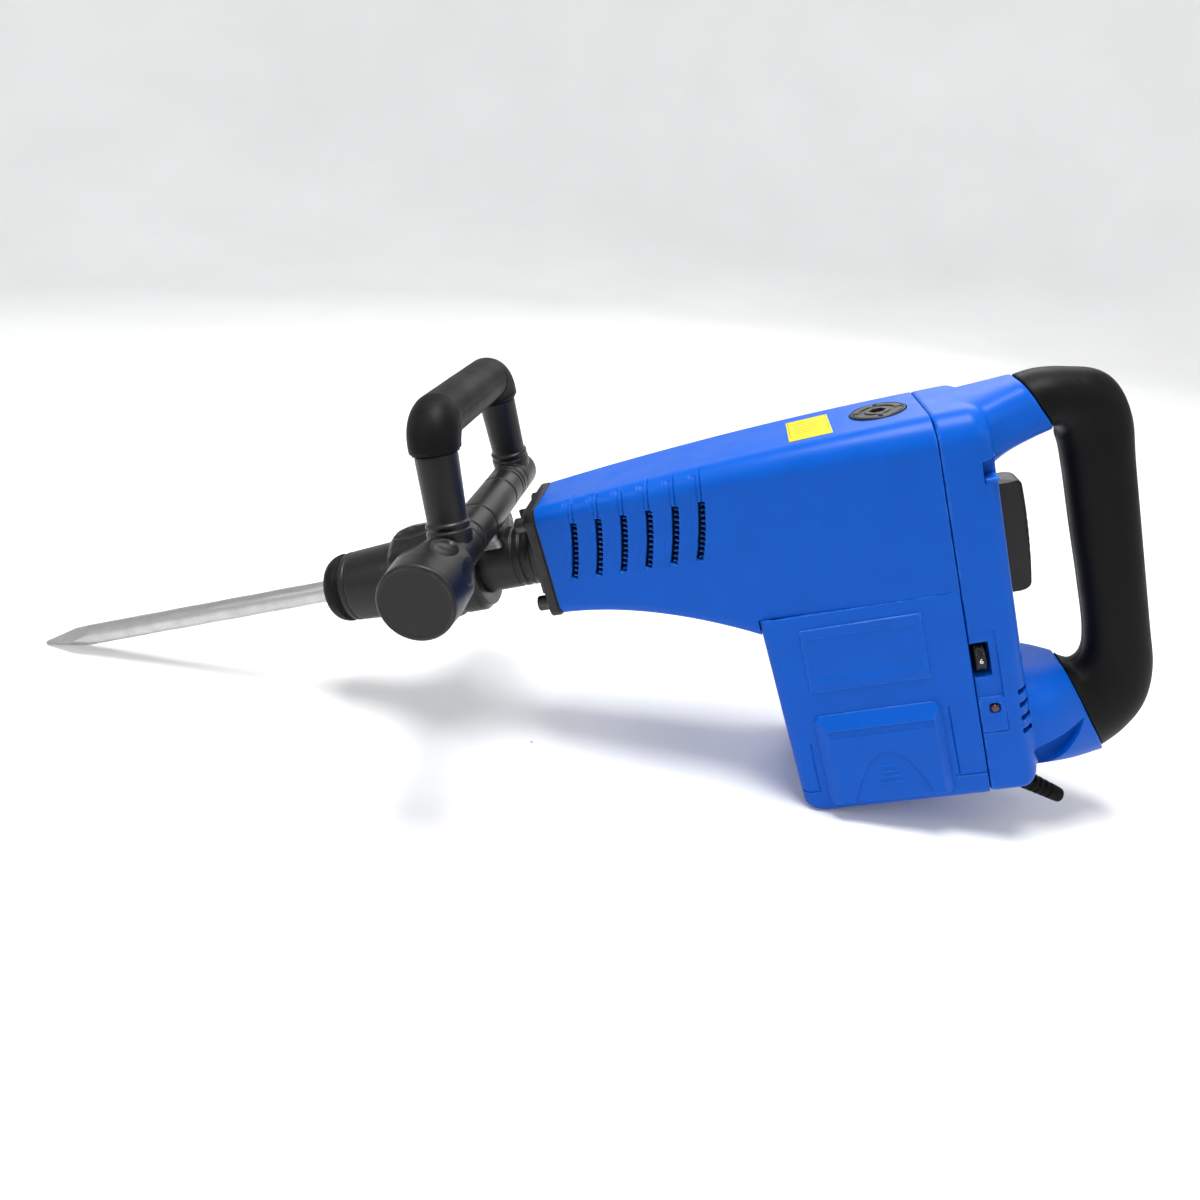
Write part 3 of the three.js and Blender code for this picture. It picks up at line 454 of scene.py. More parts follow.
def build_moulded_grain():
    """Fine moulded texture: a height for the bump, and a slow mottle for roughness and colour."""
    group, given, out = new_group(
        "Moulded grain",
        [("Grain per metre", "NodeSocketFloat", 2600.0), ("Mottle per metre", "NodeSocketFloat", 45.0)],
        [("Height", "NodeSocketFloat"), ("Mottle", "NodeSocketFloat")],
    )
    where = metres(group)
    grain = add_node(group, "ShaderNodeTexNoise", Detail=3.0, Roughness=0.6)
    pits = add_node(group, "ShaderNodeTexVoronoi", feature="SMOOTH_F1")
    slow = add_node(group, "ShaderNodeTexNoise", Detail=4.0, Roughness=0.55)
    for node in (grain, pits, slow):
        group.links.new(where, node.inputs["Vector"])
    group.links.new(given.outputs[0], grain.inputs["Scale"])
    group.links.new(given.outputs[0], pits.inputs["Scale"])
    group.links.new(given.outputs[1], slow.inputs["Scale"])
    height = math_node(group, "ADD", math_node(group, "MULTIPLY", grain.outputs[0], 0.6),
                       math_node(group, "MULTIPLY", pits.outputs["Distance"], 0.4))
    group.links.new(height, out.inputs[0])
    group.links.new(slow.outputs[0], out.inputs[1])
    return group


def build_edge_wear():
    """Rubbed edges: a mask that is strongest on outer edges, broken up by a patchy noise."""
    group, given, out = new_group(
        "Rubbed edges",
        [("Amount", "NodeSocketFloat", 0.5), ("Patches per metre", "NodeSocketFloat", 120.0)],
        [("Mask", "NodeSocketFloat")],
    )
    edge = add_node(group, "ShaderNodeNewGeometry").outputs["Pointiness"]
    noise = add_node(group, "ShaderNodeTexNoise", Detail=5.0, Roughness=0.65)
    group.links.new(metres(group), noise.inputs["Vector"])
    group.links.new(given.outputs[1], noise.inputs["Scale"])
    ramp = add_node(group, "ShaderNodeMapRange", interpolation_type="SMOOTHSTEP")
    ramp.inputs["From Min"].default_value = 0.505
    ramp.inputs["From Max"].default_value = 0.56
    group.links.new(edge, ramp.inputs["Value"])
    patch = add_node(group, "ShaderNodeMapRange")
    patch.inputs["From Min"].default_value = 0.4
    patch.inputs["From Max"].default_value = 0.65
    group.links.new(noise.outputs[0], patch.inputs["Value"])
    worn = math_node(group, "MULTIPLY", ramp.outputs[0], patch.outputs[0])
    group.links.new(math_node(group, "MULTIPLY", worn, given.outputs[0]), out.inputs[0])
    return group


def build_dust():
    """Fine dust: settles in patches on faces that look up."""
    group, given, out = new_group(
        "Settled dust",
        [("Amount", "NodeSocketFloat", 0.3)],
        [("Mask", "NodeSocketFloat")],
    )
    normal = add_node(group, "ShaderNodeNewGeometry").outputs["Normal"]
    split = add_node(group, "ShaderNodeSeparateXYZ")
    group.links.new(normal, split.inputs[0])
    up = add_node(group, "ShaderNodeMapRange")
    up.inputs["From Min"].default_value = 0.2
    group.links.new(split.outputs["Z"], up.inputs["Value"])
    noise = add_node(group, "ShaderNodeTexNoise", Scale=160.0, Detail=6.0, Roughness=0.7)
    group.links.new(metres(group), noise.inputs["Vector"])
    patch = add_node(group, "ShaderNodeMapRange")
    patch.inputs["From Min"].default_value = 0.45
    patch.inputs["From Max"].default_value = 0.75
    group.links.new(noise.outputs[0], patch.inputs["Value"])
    dust = math_node(group, "MULTIPLY", up.outputs[0], patch.outputs[0])
    group.links.new(math_node(group, "MULTIPLY", dust, given.outputs[0]), out.inputs[0])
    return group


def build_recess_shade():
    """Painted shade in the bottom of moulded slots: a mask that grows with the depth stored on the mesh."""
    group, given, out = new_group(
        "Recess shade",
        [("Full depth", "NodeSocketFloat", 4.0)],
        [("Mask", "NodeSocketFloat")],
    )
    depth = add_node(group, "ShaderNodeAttribute", attribute_name="recess").outputs["Fac"]
    ramp = add_node(group, "ShaderNodeMapRange", interpolation_type="SMOOTHSTEP")
    ramp.inputs["From Min"].default_value = 1.0
    group.links.new(depth, ramp.inputs["Value"])
    group.links.new(given.outputs[0], ramp.inputs["From Max"])
    group.links.new(ramp.outputs[0], out.inputs[0])
    return group


def build_brushing():
    """Fine lines left by grinding or turning, stretched along one axis of the tool."""
    group, given, out = new_group(
        "Ground lines",
        [("Stretch", "NodeSocketVector", (40.0, 1500.0, 1500.0))],
        [("Height", "NodeSocketFloat"), ("Streaks", "NodeSocketFloat")],
    )
    turn = add_node(group, "ShaderNodeMapping", vector_type="POINT")
    turn.inputs["Rotation"].default_value = (0, math.atan2(ALONG.z, ALONG.x), 0)
    group.links.new(metres(group), turn.inputs["Vector"])
    scale = add_node(group, "ShaderNodeVectorMath", operation="MULTIPLY")
    group.links.new(turn.outputs[0], scale.inputs[0])
    group.links.new(given.outputs[0], scale.inputs[1])
    lines = add_node(group, "ShaderNodeTexNoise", Scale=1.0, Detail=4.0, Roughness=0.6)
    group.links.new(scale.outputs[0], lines.inputs["Vector"])
    blotch = add_node(group, "ShaderNodeTexNoise", Scale=70.0, Detail=5.0, Roughness=0.6)
    group.links.new(metres(group), blotch.inputs["Vector"])
    group.links.new(lines.outputs[0], out.inputs[0])
    group.links.new(blotch.outputs[0], out.inputs[1])
    return group


EFFECTS = {}
FINISHES = {}


def effect(name):
    builders = {
        "grain": build_moulded_grain, "wear": build_edge_wear, "dust": build_dust,
        "recess": build_recess_shade, "lines": build_brushing,
    }
    if name not in EFFECTS:
        EFFECTS[name] = builders[name]()
    return EFFECTS[name]


def use_effect(tree, name, **values):
    node = tree.nodes.new("ShaderNodeGroup")
    node.node_tree = effect(name)
    for label, value in values.items():
        node.inputs[label.replace("_", " ")].default_value = value
    return node


def start_material(name, **values):
    material = bpy.data.materials.new(name)
    material.use_nodes = True
    tree = material.node_tree
    shader = tree.nodes["Principled BSDF"]
    for label, value in values.items():
        shader.inputs[label.replace("_", " ")].default_value = value
    return material, tree, shader


def bump(tree, shader, height, strength, distance):
    node = add_node(tree, "ShaderNodeBump", Strength=strength, Distance=distance)
    tree.links.new(height, node.inputs["Height"])
    tree.links.new(node.outputs[0], shader.inputs["Normal"])


def spread(tree, value, low, high):
    node = tree.nodes.new("ShaderNodeMapRange")
    node.inputs["From Min"].default_value = 0.3
    node.inputs["From Max"].default_value = 0.7
    node.inputs["To Min"].default_value = low
    node.inputs["To Max"].default_value = high
    tree.links.new(value, node.inputs["Value"])
    return node.outputs[0]


def plastic(name, colour, rough, grain, strength, wear, dust, worn_to, mottle=0.05, deep=4.0, gloss=0.10):
    """A moulded plastic or rubber: mottled colour, grain, rubbed edges, dust, and painted shade in recesses."""
    material, tree, shader = start_material(name, Specular_IOR_Level=gloss)
    moulded = use_effect(tree, "grain", Grain_per_metre=grain)
    dark = tuple(c * (1 - mottle * 2) for c in colour[:3]) + (1,)
    light = tuple(min(1, c * (1 + mottle * 2)) for c in colour[:3]) + (1,)
    base = mix_colour(tree, spread(tree, moulded.outputs["Mottle"], 0.0, 1.0), dark, light)
    worn = use_effect(tree, "wear", Amount=wear)
    base = mix_colour(tree, worn.outputs[0], base, worn_to)
    settled = use_effect(tree, "dust", Amount=dust)
    base = mix_colour(tree, settled.outputs[0], base, (0.5, 0.5, 0.48, 1))
    # Painted shade: recesses darken towards near black with the depth stored on the mesh.
    recess = use_effect(tree, "recess", Full_depth=deep)
    base = mix_colour(tree, recess.outputs[0], base, (0.004, 0.005, 0.008, 1))
    tree.links.new(base, shader.inputs["Base Color"])
    roughness = spread(tree, moulded.outputs["Mottle"], rough - 0.05, rough + 0.06)
    roughness = math_node(tree, "ADD", roughness, math_node(tree, "MULTIPLY", settled.outputs[0], 0.5))
    tree.links.new(roughness, shader.inputs["Roughness"])
    bump(tree, shader, moulded.outputs["Height"], strength, 0.0001)
    return material


def metal(name, colour, rough, stretch, strength, wear, worn_to, stain=(0.1, 0.08, 0.07, 1)):
    """A machined, ground or blackened metal with lines, stains and bright edges."""
    material, tree, shader = start_material(name, Metallic=1.0)
    lines = use_effect(tree, "lines", Stretch=stretch)
    streak = spread(tree, lines.outputs["Streaks"], 0.0, 0.45)
    base = mix_colour(tree, streak, colour, stain)
    worn = use_effect(tree, "wear", Amount=wear)
    base = mix_colour(tree, worn.outputs[0], base, worn_to)
    tree.links.new(base, shader.inputs["Base Color"])
    roughness = math_node(tree, "ADD", spread(tree, lines.outputs["Height"], rough - 0.08, rough + 0.1),
                          math_node(tree, "MULTIPLY", streak, 0.3))
    tree.links.new(roughness, shader.inputs["Roughness"])
    bump(tree, shader, lines.outputs["Height"], strength, 0.0001)
    return material


def build_blue_shell():
    colour = tuple(bpy.context.scene.hammer_colours.shell) + (1,)
    material = plastic("blue_shell", colour, 0.38, 1500.0, 0.10, 0.35, 0.0, (0.06, 0.24, 0.75, 1), 0.02)
    material.node_tree.nodes["Principled BSDF"].inputs["Coat Weight"].default_value = 0.05
    material.node_tree.nodes["Principled BSDF"].inputs["Coat Roughness"].default_value = 0.24
    return material


def build_black_plastic():
    colour = tuple(bpy.context.scene.hammer_colours.plastic) + (1,)
    return plastic("black_plastic", colour, 0.38, 1900.0, 0.22, 0.4, 0.01, (0.05, 0.05, 0.05, 1), 0.08, gloss=0.28)


def build_grip_rubber():
    colour = tuple(bpy.context.scene.hammer_colours.rubber) + (1,)
    return plastic("grip_rubber", colour, 0.50, 1300.0, 0.5, 0.3, 0.015, (0.03, 0.03, 0.03, 1), 0.10)


def build_soft_rubber():
    colour = tuple(bpy.context.scene.hammer_colours.rubber) + (1,)
    return plastic("soft_rubber", colour, 0.55, 2600.0, 0.3, 0.3, 0.015, (0.03, 0.03, 0.03, 1), 0.10)


def build_yellow_film():
    colour = tuple(bpy.context.scene.hammer_colours.label) + (1,)
    return plastic("yellow_film", colour, 0.34, 5000.0, 0.03, 0.1, 0.0, (0.9, 0.8, 0.2, 1), 0.02)


def build_lamp_lens():
    material = plastic("lamp_lens", (0.05, 0.004, 0.004, 1), 0.18, 4000.0, 0.02, 0.1, 0.02,
                       (0.2, 0.05, 0.05, 1))
    material.node_tree.nodes["Principled BSDF"].inputs["Coat Weight"].default_value = 1.0
    return material


def build_digit_paint():
    return plastic("digit_paint", (0.8, 0.8, 0.78, 1), 0.5, 3000.0, 0.05, 0.1, 0.02, (0.6, 0.6, 0.6, 1))


def build_chisel_steel():
    return metal("chisel_steel", (0.47, 0.47, 0.47, 1), 0.34, (35.0, 1200.0, 1200.0), 0.3, 0.6,
                 (0.75, 0.75, 0.74, 1), (0.30, 0.30, 0.30, 1))


def build_dark_steel():
    return metal("dark_steel", (0.05, 0.05, 0.052, 1), 0.38, (300.0, 900.0, 900.0), 0.2, 0.8,
                 (0.3, 0.3, 0.3, 1), (0.02, 0.02, 0.02, 1))


def build_bright_steel():
    return metal("bright_steel", (0.62, 0.62, 0.63, 1), 0.26, (900.0, 200.0, 200.0), 0.2, 0.5,
                 (0.9, 0.9, 0.9, 1))


def build_aluminium():
    return metal("cast_aluminium", (0.7, 0.71, 0.72, 1), 0.45, (500.0, 500.0, 500.0), 0.4, 0.4,
                 (0.9, 0.9, 0.9, 1), (0.4, 0.4, 0.4, 1))


def build_copper():
    return metal("copper", (0.75, 0.36, 0.2, 1), 0.3, (300.0, 300.0, 1600.0), 0.3, 0.4, (0.95, 0.6, 0.45, 1))


def build_brass():
    return metal("brass", (0.78, 0.6, 0.27, 1), 0.32, (400.0, 900.0, 900.0), 0.25, 0.4, (0.95, 0.85, 0.5, 1))


BUILDERS = {
    "blue_shell": build_blue_shell, "black_plastic": build_black_plastic, "grip_rubber": build_grip_rubber,
    "soft_rubber": build_soft_rubber, "yellow_film": build_yellow_film, "lamp_lens": build_lamp_lens,
    "digit_paint": build_digit_paint, "chisel_steel": build_chisel_steel, "dark_steel": build_dark_steel,
    "bright_steel": build_bright_steel, "aluminium": build_aluminium, "copper": build_copper,
    "brass": build_brass,
}


def finish(name):
    if name not in FINISHES:
        FINISHES[name] = BUILDERS[name]()
    return FINISHES[name]


# ---- Settings -----------------------------------------------------------------------------------
class HammerSizes(PropertyGroup):
    vent_depth: FloatProperty(
        name="Vent depth", description="How deep the barrel's slots are, in millimetres", default=5.0, min=1.0
    )
    vent_teeth: IntProperty(
        name="Vent teeth", description="Number of short ribs in each slot", default=11, min=2
    )
    knurl_pitch: FloatProperty(
        name="Knurl pitch", description="Spacing of the covers' diamond knurl, in millimetres", default=1.9
    )
    boot_rings: IntProperty(
        name="Strain relief rings", description="Number of ribs on the strain relief", default=7, min=0
    )
    flute_depth: FloatProperty(
        name="Flute depth", description="Depth of the ring's finger flutes, in millimetres", default=4.2
    )


class HammerColours(PropertyGroup):
    shell: FloatVectorProperty(
        name="Shell", description="Colour of the plastic shells", subtype="COLOR", size=3,
        default=(0.0004, 0.078, 0.44), min=0, max=1,
    )
    plastic: FloatVectorProperty(
        name="Plastic", description="Colour of the black plastic pieces", subtype="COLOR", size=3,
        default=(0.006, 0.006, 0.0063), min=0, max=1,
    )
    rubber: FloatVectorProperty(
        name="Rubber", description="Colour of the grips", subtype="COLOR", size=3,
        default=(0.0034, 0.0034, 0.0036), min=0, max=1,
    )
    label: FloatVectorProperty(
        name="Label", description="Colour of the blank label", subtype="COLOR", size=3,
        default=(0.60, 0.50, 0.006), min=0, max=1,
    )


# ---- Camera, studio -----------------------------------------------------------------------------
VIEW_BACK = Vector((0.11214, -0.93700, 0.33084)).normalized()
VIEW_FROM = Vector((0.10511, -0.57599, 0.42751))
VIEW_ROLL = math.radians(4.94)


class HAMMER_OT_stage(Operator):
    """Makes the camera, the pale floor with its backdrop and the soft lights"""
    bl_idname = "hammer.stage"
    bl_label = "Stage"

    def execute(self, context):
        scene = context.scene
        camera = bpy.data.objects.new("view", bpy.data.cameras.new("view"))
        scene.collection.objects.link(camera)
        level = (-VIEW_BACK).to_track_quat("-Z", "Y").to_matrix()
        camera.matrix_world = (
            Matrix.Translation(VIEW_FROM) @ (level @ Matrix.Rotation(VIEW_ROLL, 3, "Z")).to_4x4()
        )
        camera.data.sensor_width = 36
        camera.data.lens = 26.4
        camera.data.shift_y = -0.1
        camera.data.clip_start = 0.01
        scene.camera = camera
        scene.view_settings.view_transform = "Standard"
        self.make_floor(context)
        self.make_lights(context)
        return {"FINISHED"}

    def make_floor(self, context):
        bend = [(2.4 + math.sin(t), 1 - math.cos(t)) for t in np.linspace(0, math.pi / 2, 16)]
        outline = [(0.001, 0.0), (0.6, 0.0), (1.5, 0.0), *bend, (3.4, 2.2), (3.4, 3.4)]
        angles = np.linspace(0, 2 * math.pi, 96, endpoint=False)
        rows = [np.stack([r * np.cos(angles), r * np.sin(angles), np.full(96, z)], -1) for r, z in outline]
        points, faces = skin(rows)
        mesh = bpy.data.meshes.new("floor")
        mesh.from_pydata(points.tolist(), [], [face[::-1] for face in faces])
        mesh.shade_smooth()
        floor = bpy.data.objects.new("floor", mesh)
        context.scene.collection.objects.link(floor)
        material, tree, shader = start_material("pale_floor", Roughness=0.7)
        mottle = add_node(tree, "ShaderNodeTexNoise", Scale=3.0, Detail=3.0)
        tree.links.new(metres(tree), mottle.inputs["Vector"])
        tone = mix_colour(tree, spread(tree, mottle.outputs[0], 0, 1), (0.86, 0.86, 0.86, 1), (0.9, 0.9, 0.9, 1))
        tree.links.new(tone, shader.inputs["Base Color"])
        mesh.materials.append(material)

    def make_lights(self, context):
        world = bpy.data.worlds.new("studio")
        world.use_nodes = True
        world.node_tree.nodes["Background"].inputs[0].default_value = (0.96, 0.98, 1.0, 1)
        world.node_tree.nodes["Background"].inputs[1].default_value = 0.40
        context.scene.world = world
        lights = [
            ("key", (-1.4, -1.2, 1.7), 0.7, 9.0), ("top", (0.0, -0.1, 2.2), 1.0, 62.0),
            ("side", (1.7, -1.0, 1.4), 0.8, 4.0), ("back", (0.5, 2.0, 1.5), 1.4, 12.0),
        ]
        for name, place_at, size, power in lights:
            lamp = bpy.data.lights.new(name, "AREA")
            lamp.shape = "DISK"
            lamp.size = size
            lamp.energy = power
            made = bpy.data.objects.new(name, lamp)
            made.location = place_at
            aim = Vector((0.05, 0, 0.15)) - Vector(place_at)
            made.rotation_mode = "QUATERNION"
            made.rotation_quaternion = aim.to_track_quat("-Z", "Y")
            context.scene.collection.objects.link(made)


# ---- Chisel and nose ----------------------------------------------------------------------------
class HAMMER_OT_chisel(Operator):
    """Makes the chisel: a round shank drawn down to a four-sided point"""
    bl_idname = "hammer.chisel"
    bl_label = "Chisel"

    def execute(self, context):
        tip, tail = CHISEL_LOW[0], CHISEL_HIGH[0]
        stations = np.concatenate([
            np.linspace(tip, tip + POINT_LENGTH + 14, 90), np.linspace(tip + 62, CAP_LOW[0] - 2, 60),
            np.linspace(CAP_LOW[0] + 2, tail - 2, 30), [tail - 1, tail],
        ])
        angles = np.linspace(0, 2 * math.pi, 128, endpoint=False)
        facet = np.abs((angles % (math.pi / 2)) - math.pi / 4)
        rows = []
        for x in stations:
            share = (x - tip) / (POINT_LENGTH + 12)
            apothem = (1.6 + (SHAFT_RADIUS * 1.5 - 1.6) * share) * math.cos(math.pi / 4)
            shaft = SHAFT_RADIUS if x < CAP_LOW[0] else CHISEL_HIGH[1]
            radius = np.minimum(shaft, apothem / np.cos(facet))
            radius = radius - 0.12 * np.sin(angles * 2 + x * 0.13) * np.clip(share - 1, 0, 1)
            if x > tail - 2:
                radius = radius - (x - tail + 2)
            rows.append(np.stack([np.full(128, x), radius * np.cos(angles), radius * np.sin(angles)], -1))
        add_piece("chisel_steel_bar", skin(rows, True, True, True), "chisel", ["chisel"], "chisel_steel",
                  sharp=24)
        return {"FINISHED"}


class HAMMER_OT_nose(Operator):
    """Makes the dust cap, the lock sleeve and the fluted ring"""
    bl_idname = "hammer.nose"
    bl_label = "Nose"

    def execute(self, context):
        start = CAP_LOW[0]
        cap = turned("x", [
            (9.6, start + 3), (9.6, start), (18, start), (23, start + 2.5), (25.8, start + 6.5),
            (27, start + 11), (27, start + 13), (25.4, start + 13.6), (25.4, start + 16.4), (9.6, start + 16.4),
        ], 128, 1.6)
        add_piece("nose_dust_cap", cap, "holder", ["dust_cap"], "soft_rubber")
        front, rear = SLEEVE_LOW[0], SLEEVE_HIGH[0]
        outer = SLEEVE_HIGH[1]
        sleeve = turned("x", [
            (18, front + 4), (18, front), (26.6, front), (27.2, front + 1), (27.3, front + 3.5),
            (26.5, front + 4.2), (26.5, front + 5.4), (27.5, front + 6.2), (outer, front + 38),
            (outer, rear), (21.5, rear), (21.5, front + 37),
        ], 128, 0.7, spacing=1.5)
        add_piece("lock_sleeve", sleeve, "sleeve", ["locking_sleeve"], "black_plastic")
        self.make_ring(context.scene.hammer_sizes.flute_depth)
        return {"FINISHED"}

    def make_ring(self, flute_depth):
        front, rear, outer = RING_LOW[0], RING_HIGH[0], 39.0
        middle = (front + rear) / 2 - 2

        def fluted(angle, distance, radius):
            nearest = (angle / (2 * math.pi) * 9) % 1 - 0.5
            across = nearest * 2 * math.pi / 9 * outer / 8.6
            along = (distance - middle) / 16
            dent = np.clip(1 - across**2 - along**2, 0, 1) ** 0.6 * flute_depth
            ridge = 0.8 * np.exp(-(((across**2 + along**2) ** 0.5 - 1.12) / 0.16) ** 2)
            return np.where(radius > 31, radius - dent + ridge * 0.5, radius)

        ring = turned("x", [
            (29.8, front + 8), (29.8, front), (34, front), (37.5, front + 5), (38.6, front + 12),
            (38.6, rear - 9), (37, rear), (17.5, rear), (17.5, rear - 4),
        ], 288, 1.5, fluted, 0.8)
        add_piece("fluted_ring", ring, "holder", ["index_ring"], "black_plastic")


# ---- Neck and front handle ----------------------------------------------------------------------
def hex_socket_head(radius, start, end, apothem=2.5, depth=3.5):
    """A cap screw's head along X: its face looks towards -X and holds a six-sided socket."""
    def socket(angle, distance, radii):
        corner = np.abs((angle % (math.pi / 3)) - math.pi / 6)
        return np.where(radii < radius * 0.7, np.minimum(radii, apothem / np.cos(corner)), radii)

    return turned("x", [
        (0.01, start + depth), (apothem * 1.1, start + depth), (apothem * 1.1, start), (radius * 0.85, start),
        (radius, start + 0.8), (radius, end), (0.01, end),
    ], 96, 0.35, socket)


class HAMMER_OT_neck(Operator):
    """Makes the neck with its flange and the four flange bolts"""
    bl_idname = "hammer.neck"
    bl_label = "Neck and flange"

    def execute(self, context):
        start = NECK_LOW[0]
        neck = turned("x", [
            (17.4, start + 3), (17.4, start), (23.3, start), (23.3, -22.6), (22.3, -22), (22.3, -20.4),
            (23.3, -19.8), (23.3, -16.4), (22.3, -15.8), (22.3, -14.2), (23.3, -13.6), (23.3, -9),
            (25.6, -7), (28, -1.2), (33, 0.6),
        ], 128, 0.6, spacing=1.5)
        thick = 8.0
        stations = [(1.2, 3.0), (0.35, 1.6), (0.0, 0.9), (0.35, 0.25), (1.0, 0), (thick - 1.3, 0),
                    (thick - 0.8, 0.8), (thick, 0.9), (thick, 4)]
        rows = []
        for x, inset in stations:
            outline = rounded_section(FLANGE_HALF - inset, FLANGE_TOP - inset, FLANGE_BOTTOM + inset,
                                      8 - inset, 8 - inset, (30, 14, 30))
            rows.append(np.c_[np.full(len(outline), x), outline])
        plate = skin(rows, True, True, True)
        pads = [turned("x", [(0.01, -0.2), (7.4, -0.2), (7.9, 0.4), (7.9, 2)], 64, 0.3) for _ in BOLT_PLACES]
        pads = [moved(pad, y=y, z=z) for pad, (y, z) in zip(pads, BOLT_PLACES)]
        ribs = [box_part(-13, 1, y - 1.4, y + 1.4, z0, z1, 0.6)
                for y in (0,) for z0, z1 in ((21, 36), (-34, -21))]
        add_piece("neck_and_flange", joined(neck, plate, *pads, *ribs), "housing", ["front_housing"],
                  "black_plastic")
        for i, (y, z) in enumerate(BOLT_PLACES, 1):
            bolt = joined(hex_socket_head(5.6, -9, -GAP), turned("x", [(3, -GAP), (3, 26)], 48))
            add_piece(f"flange_bolt_{i}", moved(bolt, y=y, z=z), "housing", [f"front_bolt_{i}"],
                      "dark_steel")
        return {"FINISHED"}


class HAMMER_OT_front_handle(Operator):
    """Makes the clamp, the cross bar, the legs and the rubber grip of the front handle"""
    bl_idname = "hammer.front_handle"
    bl_label = "Front handle"

    def execute(self, context):
        self.make_clamp()
        self.make_bar()
        for name, side in (("near", -1), ("far", 1)):
            self.make_leg(name, side)
        self.make_grip()
        return {"FINISHED"}

    def make_clamp(self):
        front, rear = CLAMP_LOW[0], -49.0
        ring = turned("x", [
            (23.6, front + 3), (23.6, front), (33, front), (36, front + 4), (36, rear - 6), (33, rear - 3),
            (33, rear), (23.6, rear), (23.6, rear - 3),
        ], 128, 1.0)
        saddle = []
        for z, half_x, half_y in ((16, 17, 20), (24, 17, 23), (31, 16.5, 24), (34.4, 16, 24), (35, 15, 23)):
            outline = rounded_section(half_y, half_x, -half_x, 5, 5, (10, 8, 10))
            rows = np.c_[outline[:, 1] + BAR_X - 6, outline[:, 0], np.full(len(outline), z)]
            saddle.append(rows)
        made = add_piece("handle_clamp", skin(saddle, True, True, True), "clamp", ["clamp_band"],
                         "dark_steel")
        carve(made, rod_part("x", 23.6, -90, 0), moved(rod_part("y", BAR_RADIUS + GAP, -60, 60), BAR_X, 0, BAR_Z))
        coat(made, "dark_steel")
        band_piece = add_piece("handle_clamp_ring", ring, "clamp", [], "black_plastic")
        return band_piece

    def make_bar(self):
        half = BAR_HIGH[1]
        ring = BAR_RADIUS - 1
        profile = [(5.6, -half + 3), (5.6, -half), (BAR_RADIUS, -half)]
        for y in (-half + 9, -30, 30, half - 16, half - 9):
            profile += [(BAR_RADIUS, y - 1.3), (ring, y - 0.8), (ring, y + 0.8), (BAR_RADIUS, y + 1.3)]
        profile += [(BAR_RADIUS, half), (5.6, half), (5.6, half - 3)]
        bar = turned("y", profile, 96, 0.5, spacing=2)
        add_piece("cross_bar", moved(bar, BAR_X, 0, BAR_Z), "clamp", ["handle_bar"], "black_plastic")
        head = LEG_Y + 16.4 + GAP
        bolt = turned("y", [
            (0.01, -124.5), (5, -124.5), (5, head), (12, head), (13.5, head + 1), (13.5, head + 2),
            (10, head + 3.5), (6, head + 3.5), (5.4, head + 2.4), (0.01, head + 2.2),
        ], 96, 0.5)
        add_piece("through_bolt", moved(bolt, BAR_X, 0, BAR_Z), "clamp", ["clamp_bolt"], "dark_steel")

    def lean(self):
        return np.array(Matrix.Rotation(LOOP_LEAN, 3, "Y"))

    def make_leg(self, name, side):
        eye = turned("y", [
            (5.6, -13), (5.6, -16.4), (14.8, -16.4), (15.8, -15.2), (15.8, 15.2), (14.8, 16.4), (5.6, 16.4),
            (5.6, 13),
        ], 96, 0.8)
        shank = turned("z", [
            (0.01, 8), (14.6, 8), (15.1, 14), (15.1, 17.2), (14.1, 18), (14.1, 19.6), (15.0, 20.3),
            (15.0, 22.2), (13.4, 23.4), (13.5, 30), (14.4, LOOP_SPLIT - 2), (14.1, LOOP_SPLIT), (0.01, LOOP_SPLIT),
        ], 96, 0.8, spacing=2)
        shank = moved(shank, turn=np.array(Matrix.Rotation(side * LEG_TOE, 3, "X")))
        leg = moved(joined(eye, shank), y=side * LEG_Y)
        leg = moved(moved(leg, turn=self.lean()), BAR_X, 0, BAR_Z)
        add_piece(f"loop_{name}_leg", leg, "loop", [f"loop_leg_{name}"], "black_plastic")

    def make_grip(self):
        toe = math.degrees(LEG_TOE)

        def along_leg(distance, radius):
            return [-LEG_Y + distance * math.sin(LEG_TOE), distance * math.cos(LEG_TOE), 90 - toe, radius, radius]

        across, up = along_leg(LOOP_SPLIT + 3, 0)[:2]
        centre = (across + LOOP_CORNER * math.cos(LEG_TOE), up - LOOP_CORNER * math.sin(LEG_TOE))
        stations = [along_leg(LOOP_SPLIT + GAP, 15.4), along_leg(LOOP_SPLIT + 2, 15.9)]
        for share in np.linspace(0, 1, 7):
            turn = toe + share * (90 - toe)
            angle = math.radians(turn)
            radius = 16.8 + 0.9 * math.sin(2 * angle)
            stations.append([centre[0] - LOOP_CORNER * math.cos(angle),
                             centre[1] + LOOP_CORNER * math.sin(angle), 90 - turn, radius, radius])
        half = [*stations, [-20, stations[-1][1], 0, 16.8, 16.8]]
        mirror = [[-a, b, -turn, r, s] for a, b, turn, r, s in half[::-1]]
        path = [*half, [0, half[-1][1], 0, 16.9, 16.9], *mirror]

        def parting(share, turn, height, side):
            line = 1 - 0.018 * np.exp(-((np.sin(turn)) / 0.05) ** 2)
            return height * line, side * line

        rows = rounded_ends(sweep(path, 96, 6, 0.96, parting))
        grip = moved(skin(rows, True, True, True), turn=np.array(Matrix.Rotation(math.pi / 2, 3, "Z")))
        grip = moved(moved(grip, turn=self.lean()), BAR_X, 0, BAR_Z)
        add_piece("loop_rubber_grip", grip, "loop", ["loop_grip"], "grip_rubber")


